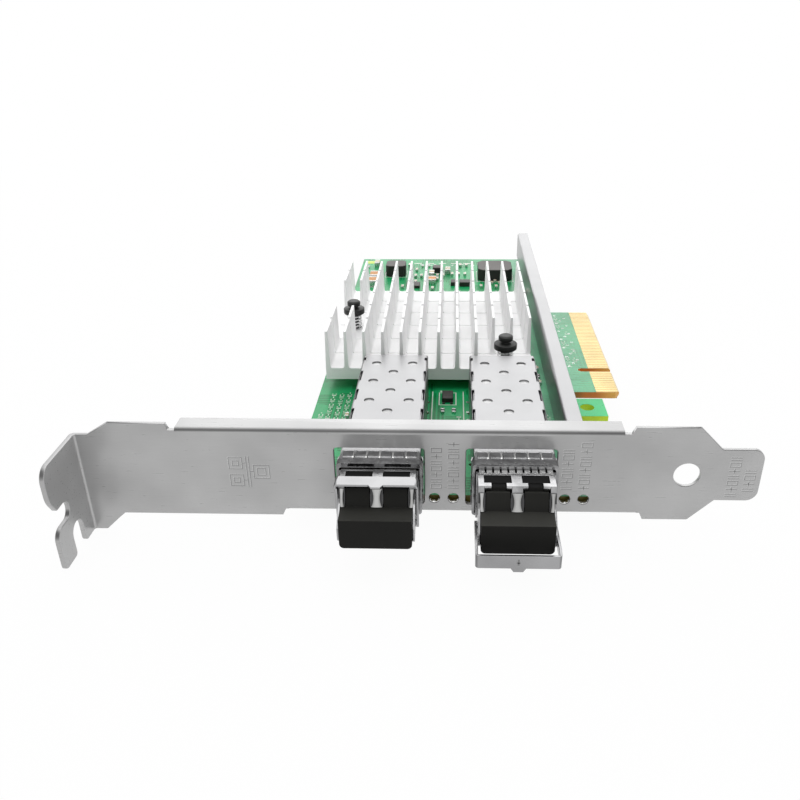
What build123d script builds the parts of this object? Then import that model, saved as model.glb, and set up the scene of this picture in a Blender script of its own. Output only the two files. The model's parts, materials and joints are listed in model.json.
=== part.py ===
from build123d import *
import os

# Two-port optical network card on a full-height slot bracket.
# Millimetres. X runs along the bracket from its bent tab to its tongue, Y runs back from the
# bracket's outer face over the board, Z points up from the component side of the board.
# Everything is laid out from the tongue's end, at X 120.02, and from the bracket's lower edge, and
# moved at the end so that the origin is the centre of the round hole on the bracket's outer face.

# Bracket sheet
SHEET = 0.86
BRACKET_LENGTH = 120.02
BRACKET_END = 120.02
BRACKET_WIDTH = 18.42
BEND_RADIUS = 0.45
NECK_LOW = -3.65
NECK_HIGH = 16.1
NECK_REACH = 3.2
SHOULDER_REACH = 7.0
TONGUE_LENGTH = 7.3
TONGUE_WIDTH = 10.19
TONGUE_CORNER = 2.0
TAPER = 4.1
HOLE_INSET = 12.72
HOLE_HEIGHT = 9.21
HOLE_RADIUS = 2.3

# Bent tab of the bracket, with its screw slot and its hook notch
TAB_DEPTH = 12.55
TAB_CORNER = 2.6
SLOT_WIDTH = 3.4
SLOT_HEIGHT = 5.8
SLOT_DEPTH = 5.7
SLOT_LIP = 1.6
HOOK_NOTCH_WIDTH = 4.0
HOOK_NOTCH_TOP = 1.9
HOOK_NOTCH_FROM_FACE = 5.8
HOOK_CORNER = 0.9

# Flanges of the bracket
FLANGE_FROM_TAB = 18.7
FLANGE_RIGHT = 95.9
FLANGE_TOP = 17.5
FLANGE_DEPTH = 4.1
RELIEF_WIDTH = 1.2
RELIEF_DEPTH = 0.35
FOOT_LEFT = 37.4
FOOT_RIGHT = 99.4
FOOT_BOTTOM = 0.95
FOOT_DEPTH = 4.0
EAR_WIDTH = 7.6
EAR_DEPTH = 9.6
BOSS_RADIUS = 2.6

# Openings in the bracket
PORT_PITCH = 22.95
PORT_LEFT_X = 54.35
OPENING_WIDTH = 15.7
OPENING_SHIFT = -0.35
OPENING_BOTTOM = 2.7
OPENING_TOP = 14.0
LIGHT_HOLES = (63.6, 66.95, 86.6, 89.9)
LIGHT_HOLE_HEIGHT = 3.95
LIGHT_HOLE_RADIUS = 0.98

# Circuit board
BOARD_THICKNESS = 1.57
BOARD_TOP = 3.82
BOARD_LEFT = 36.9
BOARD_RIGHT = 93.2
BOARD_NEAR = 1.3
BOARD_FAR = 146.5
LUG_NEAR = 32.6
LUG_LENGTH = 8.4
LUG_REACH = 6.5
LUG_HOLE_RADIUS = 1.5
LUG_HOLE_INSET = 3.9
CORNER_REACH = 5.4
CORNER_LENGTH = 9.6
EDGE_NEAR = 44.4
EDGE_LENGTH = 51.3
EDGE_REACH = 11.0
EDGE_CORNER = 1.0
EDGE_BEVEL = 0.5
FIRST_CONTACTS = 11
SECOND_CONTACTS = 38
CONTACT_PITCH = 1.0
CONTACT_WIDTH = 0.7
CONTACT_LENGTH = 4.8
CONTACT_THICKNESS = 0.05
FIRST_SEGMENT = 11.2
KEY_WIDTH = 1.9
KEY_DEPTH = 7.8

# Board screws at the bracket
SCREW_RADIUS = 1.45
SCREW_HEAD_RADIUS = 2.6
SCREW_HEAD_HEIGHT = 1.5
SCREW_CLEARANCE = 0.15
SCREW_DEPTH = 4.1
DRIVE_RADIUS = 0.9
DRIVE_DEPTH = 0.8
SCREW_BACK = 6.4

# Stiffener rail
RAIL_SHEET = 0.9
RAIL_INSET = 5.1
RAIL_FLANGE = 3.2
RAIL_HEIGHT = 7.8
RAIL_NEAR = 1.7
RAIL_FAR = 150.3
RAIL_FOOT_REACH = 4.6
RAIL_FOOT_LENGTH = 6.0
RAIL_FEET = (20.0, 76.0, 132.0)
RAIL_SCREW_RADIUS = 0.95
RAIL_SCREW_HEAD = 1.8
RAIL_SCREW_HEAD_HEIGHT = 0.9

# Heat sink
SINK_TO_RAIL = 3.4
SINK_NEAR = 45.0
SINK_WIDTH = 46.4
SINK_LENGTH = 53.0
SINK_GAP = 2.5
SINK_BASE = 2.7
SINK_HEIGHT = 11.4
FIN_COLUMNS = 12
FIN_MARGIN = 0.53
FIN_TIP = 0.55
FIN_ROOT = 1.0
FIN_ROWS = 6
CROSS_CUT = 1.0
CROSS_CUT_DEPTH = 0.15
CHIP_WIDTH = 25.0
CHIP_SUBSTRATE = 1.1
CHIP_LID_WIDTH = 19.0
CHIP_LID = 0.9
CHIP_CENTRE_BACK = 28.0

# Push pins that hold the heat sink
PIN_REAR_INSET = (3.9, 25.0)
PIN_FRONT_INSET = (6.3, 2.6)
PIN_SHANK_RADIUS = 1.0
PIN_HOLE_CLEARANCE = 0.25
PIN_TOP = 12.3
PIN_KNOB_RADIUS = 1.6
PIN_KNOB_HEIGHT = 1.2
PIN_NECK_HEIGHT = 0.5
PIN_COLLAR_RADIUS = 2.55
PIN_COLLAR_HEIGHT = 1.8
PIN_BARB_RADIUS = 1.7
PIN_BARB_HEIGHT = 1.7
SPRING_WIRE = 0.42
SPRING_RADIUS = 1.62
SPRING_TURNS = 4

# Port cages
CAGE_WIDTH = 14.0
CAGE_HEIGHT = 9.73
CAGE_WALL = 0.25
CAGE_FRONT = -4.6
CAGE_BACK = 41.9
CAGE_FLOOR_END = 24.0
CAGE_HOLE_RADIUS = 0.98
CAGE_HOLE_FIRST = 15.3
CAGE_HOLE_STEP = 4.46
CAGE_HOLE_SIDE = 3.84
CAGE_HOLE_ROWS = 6
FOLD_SLOTS = ((13.8, 4.8), (22.3, 4.8), (31.2, 4.8), (39.9, 1.5))
FOLD_SLOT_WIDTH = 0.55
FOLD_SLOT_EDGE = 0.15
CAGE_PINS = (12.0, 22.5, 33.4, 38.7)
CAGE_PIN_WIDTH = 0.75
CAGE_PIN_DROP = 2.3
CAGE_PIN_HOLE = 0.5

# Spring collars round the cages
COLLAR_SHEET = 0.2
COLLAR_BAND = 1.5
MOUTH_TOP = 0.6
MOUTH_SIDE = 0.25
MOUTH_BOTTOM = 0.1
FINGER_REACH = 2.8
FINGER_BULGE = 0.2
TOP_FINGERS = 6
SIDE_FINGERS = 3
FINGER_GAP = 0.45

# Cage connectors
SOCKET_WIDTH = 11.4
SOCKET_FRONT = 33.0
SOCKET_HEIGHT = 6.8
SOCKET_SLOT_DEPTH = 4.2

# Finger strips on the transceiver modules
MODULE_SPRING_SHEET = 0.12
MODULE_SPRING_FRONT = -5.2
MODULE_SPRING_BAND = 0.3
MODULE_FINGERS = 10
MODULE_FINGER_GAP = 0.35
MODULE_FINGER_REACH = 2.6
MODULE_FINGER_BULGE = 0.16

# Transceiver modules
MODULE_WIDTH = 13.2
MODULE_BOTTOM = BOARD_TOP + CAGE_WALL
MODULE_TOP = 12.65
MODULE_BACK = 30.5
MODULE_WALL = 0.8
MODULE_FLOOR = 1.3
COVER_SHEET = 0.5
COVER_TOP = 13.1
COVER_BACK = 40.0
SHOULDER = -5.3
HEAD_WIDTH = 12.7
HEAD_BOTTOM = 3.95
HEAD_TOP = 12.75
HEAD_FRONT = -10.6
HEAD_TOP_FRONT = -8.9
SLOPE_START = 8.9
CHEEK_FRONT = -14.0
CHEEK_TOP = 7.4
CHEEK_THICKNESS = 0.36
CHEEK_ROOT_DROP = 2.0
CHEEK_STEP_DROP = 3.4
CHEEK_CORNER = 0.7
OPTIC_PITCH = 6.25
OPTIC_HEIGHT = 8.7
BORE_WIDTH = 4.1
BORE_BOTTOM = 5.6
BORE_TOP = 11.9
BORE_BACK = -1.6
LATCH_GAP = 4.5
LATCH_GAP_BACK = -5.5
MIDDLE_LIP_TIP = 1.75
SIDE_LIP_TIP = 4.2
LIP_LENGTH = 1.0
NOSE_RADIUS = 1.25
BARREL_RADIUS = 2.4
BARREL_BACK = 4.6
NOSE_FRONT = -4.8
INNER_BOARD_FRONT = 5.0
INNER_BOARD_BACK = 36.6
INNER_BOARD_WIDTH = 11.0
INNER_TONGUE_WIDTH = 9.2
INNER_BOARD_BOTTOM = 7.9
INNER_BOARD_THICKNESS = 1.0

# How far each module stands out of its cage, seen from the left one: the right one is unlatched
MODULE_OUT = {"left": 0.0, "right": 0.9}

# Latch bails, their pins and the release slides
BAIL_SHEET = 0.42
BAIL_GAP = 0.07
BAIL_PIVOT_Y = -8.63
BAIL_PIVOT_Z = 4.72
BAIL_RADIUS = 8.45
BAIL_ARM_WIDTH = 1.7
BAIL_BAR_WIDTH = 2.45
BAIL_BAR_SHIFT = -0.76
BAIL_CORNER = 0.6
BAIL_TAB_LENGTH = 0.7
BAIL_TAB_WIDTH = 2.6
BAIL_PIN_RADIUS = 0.5
BAIL_PIN_CLEARANCE = 0.06
BAIL_SHUT_ANGLE = 3.0
BAIL_OPEN_ANGLE = 90.0
SLIDE_WIDTH = 4.0
SLIDE_THICKNESS = 0.55
SLIDE_FRONT = -7.4
SLIDE_BACK = 7.6
SLIDE_CLEARANCE = 0.08
SLIDE_LIFT = 0.12
SLIDE_TRAVEL = 1.3
SLIDE_WINDOW = 1.8
SLIDE_WINDOW_INSET = 3.4

# Dust plugs
PLUG_WIDTH = 11.9
PLUG_FRONT = -14.7
PLUG_BOTTOM = 3.5
PLUG_TOP = 8.9
PLUG_CORNER = 0.8
PRONG_CLEARANCE = 0.1
PRONG_BACK = -5.4
LIP_CLEARANCE = 0.12
NOSE_POCKET = 3.2

# Small parts on the board: left, near, width, length and height of each
PORT_CHIP = (64.45, 38.4, 2.4, 3.9, 1.2)
LEAD_THICKNESS = 0.2
FLASH_CHIP = (54.0, 103.5, 5.2, 5.2, 1.7)
INDUCTORS = ((74.4, 123.0, 10.5, 10.0, 3.65), (45.6, 127.2, 6.2, 6.2, 3.55), (60.2, 131.2, 3.2, 3.2, 1.8))
REGULATORS = ((68.6, 117.8, 3.6, 3.0, 1.4), (66.0, 118.4, 1.4, 3.0, 1.2), (52.6, 116.0, 4.0, 4.0, 0.9))
TANTALUMS = ((40.8, 117.4, 2.8, 4.4, 1.9), (40.8, 123.2, 2.8, 4.4, 1.9), (58.9, 119.8, 2.6, 3.6, 1.6))
CRYSTAL = (47.0, 103.6, 3.2, 5.0, 1.1)
CAPACITOR_SIZE = (0.8, 1.6, 0.8)
CAPACITORS = (
    (78.2, 119.6), (80.4, 119.6), (61.4, 126.8), (63.2, 126.8), (61.4, 123.6), (66.0, 128.2),
    (68.0, 128.2), (70.0, 128.2), (54.6, 126.4), (56.4, 126.4), (86.2, 47.6), (86.2, 55.4),
    (41.0, 104.0), (43.0, 104.0), (72.4, 104.6), (74.4, 104.6), (76.4, 104.6), (50.2, 137.6),
    (52.2, 137.6), (68.6, 137.6), (70.6, 137.6), (38.6, 14.2), (40.6, 14.2), (44.0, 30.4),
    (54.7, 132.6), (54.8, 120.6), (60.1, 114.2), (74.8, 116.4), (79.2, 121.2), (79.3, 116.0),
    (51.0, 115.8),
)
BULK_CAPACITOR_SIZE = (1.6, 3.2, 1.6)
BULK_CAPACITORS = ((59.2, 126.4), (64.2, 129.8), (41.2, 137.4), (86.0, 108.4))
RESISTOR_SIZE = (0.8, 1.6, 0.45)
RESISTORS = (
    (64.2, 33.4), (66.6, 33.4), (38.6, 20.4), (40.6, 20.4), (42.6, 20.4), (86.2, 51.4),
    (58.4, 110.4), (60.4, 110.4), (62.4, 110.4), (64.4, 110.4), (80.4, 110.4), (82.4, 110.4),
    (56.4, 137.6), (58.4, 137.6), (60.4, 137.6), (74.6, 138.6), (76.6, 138.6), (38.8, 136.4),
)
UNDER_CAPACITOR_COLUMNS = 6
UNDER_CAPACITOR_ROWS = 3
UNDER_CAPACITOR_STEP = 3.2
LAMP_SIZE = (1.6, 1.0, 0.6)
LAMP_BACK = 3.4

# Places that follow from the sizes above
BOARD_BOTTOM = BOARD_TOP - BOARD_THICKNESS
EDGE_TIP = BOARD_RIGHT + EDGE_REACH
TONGUE_LOW = (BRACKET_WIDTH - TONGUE_WIDTH) / 2
TAB = BRACKET_END - BRACKET_LENGTH
HOLE_X = BRACKET_END - HOLE_INSET
FLANGE_LEFT = TAB + FLANGE_FROM_TAB
TAPER_END = BRACKET_END - TONGUE_LENGTH
TAPER_START = TAPER_END - TAPER
RAIL_LEFT = BOARD_RIGHT - RAIL_INSET
SINK_RIGHT = RAIL_LEFT - SINK_TO_RAIL
SINK_LEFT = SINK_RIGHT - SINK_WIDTH
FIN_PITCH = (SINK_WIDTH - 2 * FIN_MARGIN) / (FIN_COLUMNS - 1)
PIN_REAR = (SINK_LEFT + PIN_REAR_INSET[0], SINK_NEAR + PIN_REAR_INSET[1])
PIN_FRONT = (SINK_RIGHT - PIN_FRONT_INSET[0], SINK_NEAR + PIN_FRONT_INSET[1])
SINK_BOTTOM = BOARD_TOP + SINK_GAP
SINK_FLOOR = SINK_BOTTOM + SINK_BASE
SINK_TOP = SINK_BOTTOM + SINK_HEIGHT
ROW_STEP = (SINK_LENGTH + CROSS_CUT) / FIN_ROWS
CAGE_TOP = BOARD_TOP + CAGE_HEIGHT
PORTS = {"left": PORT_LEFT_X, "right": PORT_LEFT_X + PORT_PITCH}
BAIL_INNER = HEAD_WIDTH / 2 + BAIL_GAP
BAIL_OUTER = BAIL_INNER + BAIL_SHEET
SCREWS_X = (FOOT_LEFT + EAR_WIDTH / 2, FOOT_RIGHT - EAR_WIDTH / 2)
ORIGIN = Pos(-HOLE_X, 0, -HOLE_HEIGHT)


def block(x0, x1, y0, y1, z0, z1):
    """A box between two corners."""
    return Pos((x0 + x1) / 2, (y0 + y1) / 2, (z0 + z1) / 2) * Box(x1 - x0, y1 - y0, z1 - z0)


def rod_z(x, y, z0, z1, radius):
    """A round bar along Z."""
    return Pos(x, y, (z0 + z1) / 2) * Cylinder(radius, z1 - z0)


def rod_y(x, z, y0, y1, radius):
    """A round bar along Y."""
    return Pos(x, (y0 + y1) / 2, z) * Rot(90, 0, 0) * Cylinder(radius, y1 - y0)


def rod_x(y, z, x0, x1, radius):
    """A round bar along X."""
    return Pos((x0 + x1) / 2, y, z) * Rot(0, 90, 0) * Cylinder(radius, x1 - x0)


def turned(x, y, profile):
    """A body turned about a vertical axis, from (radius, height) points."""
    return Pos(x, y, 0) * revolve(Plane.XZ * make_face(Polyline(*profile, close=True)), Axis.Z)


def bracket_outline():
    """Front view of the bracket sheet, with its tapers, steps and bend reliefs."""
    flange_relief = FLANGE_TOP - RELIEF_DEPTH
    points = [
        (TAB, NECK_LOW),
        (TAB + NECK_REACH, NECK_LOW),
        (TAB + SHOULDER_REACH, 0),
        (FOOT_LEFT - RELIEF_WIDTH, 0),
        (FOOT_LEFT - RELIEF_WIDTH / 2, FOOT_BOTTOM + RELIEF_DEPTH),
        (FOOT_LEFT, FOOT_BOTTOM + RELIEF_DEPTH),
        (FOOT_LEFT, FOOT_BOTTOM),
        (FOOT_RIGHT, FOOT_BOTTOM),
        (FOOT_RIGHT, FOOT_BOTTOM + RELIEF_DEPTH),
        (FOOT_RIGHT + RELIEF_WIDTH / 2, FOOT_BOTTOM + RELIEF_DEPTH),
        (FOOT_RIGHT + RELIEF_WIDTH, 0),
        (TAPER_START, 0),
        (TAPER_END, TONGUE_LOW),
        (BRACKET_END, TONGUE_LOW),
        (BRACKET_END, BRACKET_WIDTH - TONGUE_LOW),
        (TAPER_END, BRACKET_WIDTH - TONGUE_LOW),
        (TAPER_START, BRACKET_WIDTH),
        (FLANGE_RIGHT + 1.5 * RELIEF_WIDTH, BRACKET_WIDTH),
        (FLANGE_RIGHT + RELIEF_WIDTH, flange_relief),
        (FLANGE_RIGHT, flange_relief),
        (FLANGE_RIGHT, FLANGE_TOP),
        (FLANGE_LEFT, FLANGE_TOP),
        (FLANGE_LEFT, flange_relief),
        (FLANGE_LEFT - RELIEF_WIDTH, flange_relief),
        (FLANGE_LEFT - 1.2 * RELIEF_WIDTH, BRACKET_WIDTH),
        (TAB + SHOULDER_REACH, BRACKET_WIDTH),
        (TAB + NECK_REACH, NECK_HIGH),
        (TAB, NECK_HIGH),
    ]
    face = make_face(Polyline(*points, close=True))
    return fillet(face.vertices().group_by(Axis.X)[-1], TONGUE_CORNER)


def tab_outline():
    """Side view of the bent tab: Y towards the viewer is negative."""
    corners = Polyline((SHEET, NECK_LOW), (SHEET, NECK_HIGH), (-TAB_DEPTH, NECK_HIGH), (-TAB_DEPTH, NECK_LOW),
                       close=True)
    face = make_face(corners)
    outer = face.vertices().group_by(Axis.X)[0]
    face = fillet(outer.sort_by(Axis.Y)[-1], TAB_CORNER)
    face = fillet(face.vertices().sort_by(Axis.X).filter_by(lambda v: v.Y < NECK_LOW + 0.01)[0], HOOK_CORNER)
    slot_end = -TAB_DEPTH + SLOT_DEPTH - SLOT_WIDTH / 2
    slot = make_face(Polyline(
        (slot_end, SLOT_HEIGHT - SLOT_WIDTH / 2),
        (-TAB_DEPTH, SLOT_HEIGHT - SLOT_WIDTH / 2),
        (-TAB_DEPTH - SLOT_LIP, SLOT_HEIGHT),
        (-TAB_DEPTH, SLOT_HEIGHT + SLOT_WIDTH / 2 + SLOT_LIP * 1.6),
        (-TAB_DEPTH + SLOT_LIP, SLOT_HEIGHT + SLOT_WIDTH / 2),
        (slot_end, SLOT_HEIGHT + SLOT_WIDTH / 2),
        close=True))
    slot += Pos(slot_end, SLOT_HEIGHT) * Circle(SLOT_WIDTH / 2)
    notch_half = HOOK_NOTCH_WIDTH / 2
    notch_low = NECK_LOW - 1
    notch = Pos(-HOOK_NOTCH_FROM_FACE, (notch_low + HOOK_NOTCH_TOP - notch_half) / 2) * Rectangle(
        HOOK_NOTCH_WIDTH, HOOK_NOTCH_TOP - notch_half - notch_low)
    notch += Pos(-HOOK_NOTCH_FROM_FACE, HOOK_NOTCH_TOP - notch_half) * Circle(notch_half)
    return face - slot - notch


def round_bend(body, left, right, corner, inward):
    """Round the outer corner of a fold along X; inward is the side of the corner the plate is on."""
    radius = BEND_RADIUS + SHEET / 2
    centre = corner + inward * radius
    spare = block(left, right, -1, radius, min(corner - inward, centre), max(corner - inward, centre))
    return body - (spare - rod_x(radius, centre, left - 1, right + 1, radius))


def make_bracket():
    """One folded sheet: plate, tongue, tab, top flange and foot flange with two bossed ears."""
    body = extrude(Plane.XZ * bracket_outline(), amount=-SHEET)
    body += Pos(TAB, 0, 0) * extrude(Plane.YZ * tab_outline(), amount=SHEET)
    body += block(FLANGE_LEFT, FLANGE_RIGHT, 0, FLANGE_DEPTH, FLANGE_TOP - SHEET, FLANGE_TOP)
    body += block(FOOT_LEFT, FOOT_RIGHT, 0, FOOT_DEPTH, FOOT_BOTTOM, FOOT_BOTTOM + SHEET)
    for left in (FOOT_LEFT, FOOT_RIGHT - EAR_WIDTH):
        body += block(left, left + EAR_WIDTH, 0, EAR_DEPTH, FOOT_BOTTOM, FOOT_BOTTOM + SHEET)
    body = round_bend(body, FLANGE_LEFT, FLANGE_RIGHT, FLANGE_TOP, -1)
    body = round_bend(body, FOOT_LEFT, FOOT_RIGHT, FOOT_BOTTOM, 1)
    inner_fold = body.edges().filter_by(Axis.Z).filter_by(
        lambda e: abs(e.center().X - TAB - SHEET) < 0.01 and abs(e.center().Y) < 0.01)
    body = fillet(inner_fold, BEND_RADIUS)
    outer_fold = body.edges().filter_by(Axis.Z).filter_by(
        lambda e: abs(e.center().X - TAB) < 0.01 and abs(e.center().Y - SHEET) < 0.01)
    body = fillet(outer_fold, BEND_RADIUS + SHEET / 2)
    for centre in PORTS.values():
        middle = centre + OPENING_SHIFT
        window = block(middle - OPENING_WIDTH / 2, middle + OPENING_WIDTH / 2, -1, SHEET + 1,
                       OPENING_BOTTOM, OPENING_TOP)
        body -= fillet(window.edges().filter_by(Axis.Y), 0.6)
    for x in LIGHT_HOLES:
        body -= rod_y(x, LIGHT_HOLE_HEIGHT, -1, SHEET + 1, LIGHT_HOLE_RADIUS)
    body -= rod_y(HOLE_X, HOLE_HEIGHT, -1, SHEET + 1, HOLE_RADIUS)
    for x in SCREWS_X:
        body += rod_z(x, SCREW_BACK, FOOT_BOTTOM + SHEET, BOARD_BOTTOM, BOSS_RADIUS)
        body -= rod_z(x, SCREW_BACK, FOOT_BOTTOM - 1, BOARD_BOTTOM + 1, SCREW_RADIUS)
    return body


def make_bracket_screws():
    """Two pan-head screws that clamp the board on the bracket's ears."""
    screws = []
    for x in SCREWS_X:
        head_top = BOARD_TOP + SCREW_HEAD_HEIGHT
        screw = rod_z(x, SCREW_BACK, BOARD_TOP, head_top, SCREW_HEAD_RADIUS)
        screw = fillet(screw.edges().sort_by(Axis.Z)[-1], SCREW_HEAD_HEIGHT * 0.6)
        screw += rod_z(x, SCREW_BACK, BOARD_TOP - SCREW_DEPTH, BOARD_TOP, SCREW_RADIUS)
        for turn in (0, 90):
            arm = Pos(x, SCREW_BACK, head_top) * Rot(0, 0, turn) * Box(
                2 * DRIVE_RADIUS, 0.45, 2 * DRIVE_DEPTH)
            screw -= arm
        screws.append(screw)
    return Compound(screws)


def board_outline():
    """Plan view of the board: main panel, lug near the bracket and edge connector with its key."""
    edge_far = EDGE_NEAR + EDGE_LENGTH
    face = make_face(Polyline(
        (BOARD_LEFT, BOARD_NEAR), (BOARD_RIGHT + CORNER_REACH, BOARD_NEAR),
        (BOARD_RIGHT + CORNER_REACH, BOARD_NEAR + CORNER_LENGTH), (BOARD_RIGHT, BOARD_NEAR + CORNER_LENGTH),
        (BOARD_RIGHT, LUG_NEAR), (BOARD_RIGHT + LUG_REACH, LUG_NEAR),
        (BOARD_RIGHT + LUG_REACH, LUG_NEAR + LUG_LENGTH), (BOARD_RIGHT, LUG_NEAR + LUG_LENGTH),
        (BOARD_RIGHT, EDGE_NEAR), (EDGE_TIP - EDGE_CORNER, EDGE_NEAR),
        (EDGE_TIP, EDGE_NEAR + EDGE_CORNER), (EDGE_TIP, edge_far - EDGE_CORNER),
        (EDGE_TIP - EDGE_CORNER, edge_far), (BOARD_RIGHT, edge_far),
        (BOARD_RIGHT, BOARD_FAR), (BOARD_LEFT, BOARD_FAR), close=True))
    key_middle = EDGE_NEAR + FIRST_SEGMENT + KEY_WIDTH / 2
    key_round = EDGE_TIP - KEY_DEPTH + KEY_WIDTH / 2
    face -= Pos((key_round + EDGE_TIP + 1) / 2, key_middle) * Rectangle(EDGE_TIP + 1 - key_round, KEY_WIDTH)
    face -= Pos(key_round, key_middle) * Circle(KEY_WIDTH / 2)
    return face


def cage_pin_places(centre):
    """Where the press pins of one cage go through the board."""
    reach = CAGE_WIDTH / 2 - CAGE_WALL / 2
    return [(centre + side * reach, y) for side in (-1, 1) for y in CAGE_PINS]


def make_board():
    """The laminate with its bevelled connector edge and drilled holes."""
    board = Pos(0, 0, BOARD_BOTTOM) * extrude(board_outline(), amount=BOARD_THICKNESS)
    tip_edges = board.edges().filter_by(Axis.Y).filter_by(lambda e: abs(e.center().X - EDGE_TIP) < 0.01)
    board = chamfer(tip_edges, EDGE_BEVEL)
    holes = [(x, SCREW_BACK, SCREW_RADIUS + SCREW_CLEARANCE) for x in SCREWS_X]
    holes += [(BOARD_RIGHT + LUG_REACH - LUG_HOLE_INSET, LUG_NEAR + LUG_LENGTH / 2, LUG_HOLE_RADIUS)]
    holes += [(x, y, PIN_SHANK_RADIUS + PIN_HOLE_CLEARANCE) for x, y in (PIN_REAR, PIN_FRONT)]
    holes += [(rail_screw_x(), y, RAIL_SCREW_RADIUS + SCREW_CLEARANCE) for y in RAIL_FEET]
    for centre in PORTS.values():
        holes += [(x, y, CAGE_PIN_HOLE) for x, y in cage_pin_places(centre)]
    for x, y, radius in holes:
        board -= rod_z(x, y, BOARD_BOTTOM - 1, BOARD_TOP + 1, radius)
    return board


def make_edge_contacts():
    """Plated contact strips on both faces of the connector edge."""
    pads = []
    right = EDGE_TIP - EDGE_BEVEL
    first = EDGE_NEAR + FIRST_SEGMENT / 2 - (FIRST_CONTACTS - 1) / 2 * CONTACT_PITCH
    rest_start = EDGE_NEAR + FIRST_SEGMENT + KEY_WIDTH
    rest_length = EDGE_LENGTH - FIRST_SEGMENT - KEY_WIDTH
    second = rest_start + rest_length / 2 - (SECOND_CONTACTS - 1) / 2 * CONTACT_PITCH
    rows = [first + i * CONTACT_PITCH for i in range(FIRST_CONTACTS)]
    rows += [second + i * CONTACT_PITCH for i in range(SECOND_CONTACTS)]
    for y in rows:
        for low, high in ((BOARD_TOP, BOARD_TOP + CONTACT_THICKNESS),
                          (BOARD_BOTTOM - CONTACT_THICKNESS, BOARD_BOTTOM)):
            pads.append(block(right - CONTACT_LENGTH, right, y - CONTACT_WIDTH / 2, y + CONTACT_WIDTH / 2,
                              low, high))
    return Compound(pads)


def rail_screw_x():
    """The line on which the rail's screws stand."""
    return RAIL_LEFT + RAIL_SHEET + (RAIL_FOOT_REACH - RAIL_SHEET) / 2


def make_rail():
    """Folded stiffener: upright web, narrow top flange and three feet on the board."""
    top = BOARD_TOP + RAIL_HEIGHT
    rail = block(RAIL_LEFT, RAIL_LEFT + RAIL_SHEET, RAIL_NEAR, RAIL_FAR, BOARD_TOP, top)
    rail += block(RAIL_LEFT, RAIL_LEFT + RAIL_FLANGE, RAIL_NEAR, RAIL_FAR, top - RAIL_SHEET, top)
    fold = rail.edges().filter_by(Axis.Y).filter_by(
        lambda e: abs(e.center().X - RAIL_LEFT) < 0.01 and abs(e.center().Z - top) < 0.01)
    rail = fillet(fold, RAIL_SHEET * 0.9)
    for y in RAIL_FEET:
        rail += block(RAIL_LEFT, RAIL_LEFT + RAIL_FOOT_REACH, y - RAIL_FOOT_LENGTH / 2,
                      y + RAIL_FOOT_LENGTH / 2, BOARD_TOP, BOARD_TOP + RAIL_SHEET)
        rail -= rod_z(rail_screw_x(), y, BOARD_TOP - 1, BOARD_TOP + RAIL_SHEET + 1, RAIL_SCREW_RADIUS)
    return rail


def make_rail_screws():
    """Screws from under the board into the rail's feet."""
    screws = []
    for y in RAIL_FEET:
        x = rail_screw_x()
        screw = rod_z(x, y, BOARD_BOTTOM, BOARD_TOP + RAIL_SHEET + 0.4, RAIL_SCREW_RADIUS)
        head = rod_z(x, y, BOARD_BOTTOM - RAIL_SCREW_HEAD_HEIGHT, BOARD_BOTTOM, RAIL_SCREW_HEAD)
        head = chamfer(head.edges().sort_by(Axis.Z)[0], RAIL_SCREW_HEAD_HEIGHT * 0.4)
        screws.append(screw + head)
    return Compound(screws)


def fin_x(column):
    """Centre of one fin column."""
    return SINK_LEFT + FIN_MARGIN + column * FIN_PITCH


def row_start(row):
    """Near end of one row of fins."""
    return SINK_NEAR + row * ROW_STEP


def make_heat_sink():
    """Cast base with twelve columns of tapered plate fins, cross-cut into rows."""
    far = SINK_NEAR + SINK_LENGTH
    sink = block(SINK_LEFT, SINK_LEFT + SINK_WIDTH, SINK_NEAR, far, SINK_BOTTOM, SINK_FLOOR)
    fins = Sketch()
    for column in range(FIN_COLUMNS):
        x = fin_x(column)
        fins += make_face(Polyline(
            (x - FIN_ROOT / 2, SINK_FLOOR - 0.2), (x + FIN_ROOT / 2, SINK_FLOOR - 0.2),
            (x + FIN_TIP / 2, SINK_TOP), (x - FIN_TIP / 2, SINK_TOP), close=True))
    sink += Pos(0, SINK_NEAR, 0) * extrude(Plane.XZ * fins, amount=-SINK_LENGTH)
    for row in range(1, FIN_ROWS):
        cut_end = row_start(row)
        sink -= block(SINK_LEFT - 1, SINK_LEFT + SINK_WIDTH + 1, cut_end - CROSS_CUT, cut_end,
                      SINK_FLOOR - CROSS_CUT_DEPTH, SINK_TOP + 1)
    rear_room = block(SINK_LEFT - 1, fin_x(2) - FIN_PITCH / 2, row_start(2) - CROSS_CUT, row_start(4),
                      SINK_FLOOR, SINK_TOP + 1)
    front_room = block(fin_x(FIN_COLUMNS - 3) - FIN_PITCH / 2, SINK_LEFT + SINK_WIDTH + 1, SINK_NEAR - 1,
                       row_start(1), SINK_FLOOR, SINK_TOP + 1)
    sink -= rear_room
    sink -= front_room
    for x, y in (PIN_REAR, PIN_FRONT):
        sink -= rod_z(x, y, SINK_BOTTOM - 1, SINK_FLOOR + 1, PIN_SHANK_RADIUS + PIN_HOLE_CLEARANCE)
    return sink


def chip_centre():
    """The controller sits under the middle of the heat sink."""
    return SINK_LEFT + SINK_WIDTH / 2, SINK_NEAR + CHIP_CENTRE_BACK


def make_controller_chip():
    """Ball-grid package: square substrate with a smaller metal lid."""
    x, y = chip_centre()
    chip = Pos(x, y, BOARD_TOP + CHIP_SUBSTRATE / 2) * Box(CHIP_WIDTH, CHIP_WIDTH, CHIP_SUBSTRATE)
    lid = Pos(x, y, BOARD_TOP + CHIP_SUBSTRATE + CHIP_LID / 2) * Box(CHIP_LID_WIDTH, CHIP_LID_WIDTH, CHIP_LID)
    return chip + chamfer(lid.edges().group_by(Axis.Z)[-1], 0.3)


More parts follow.
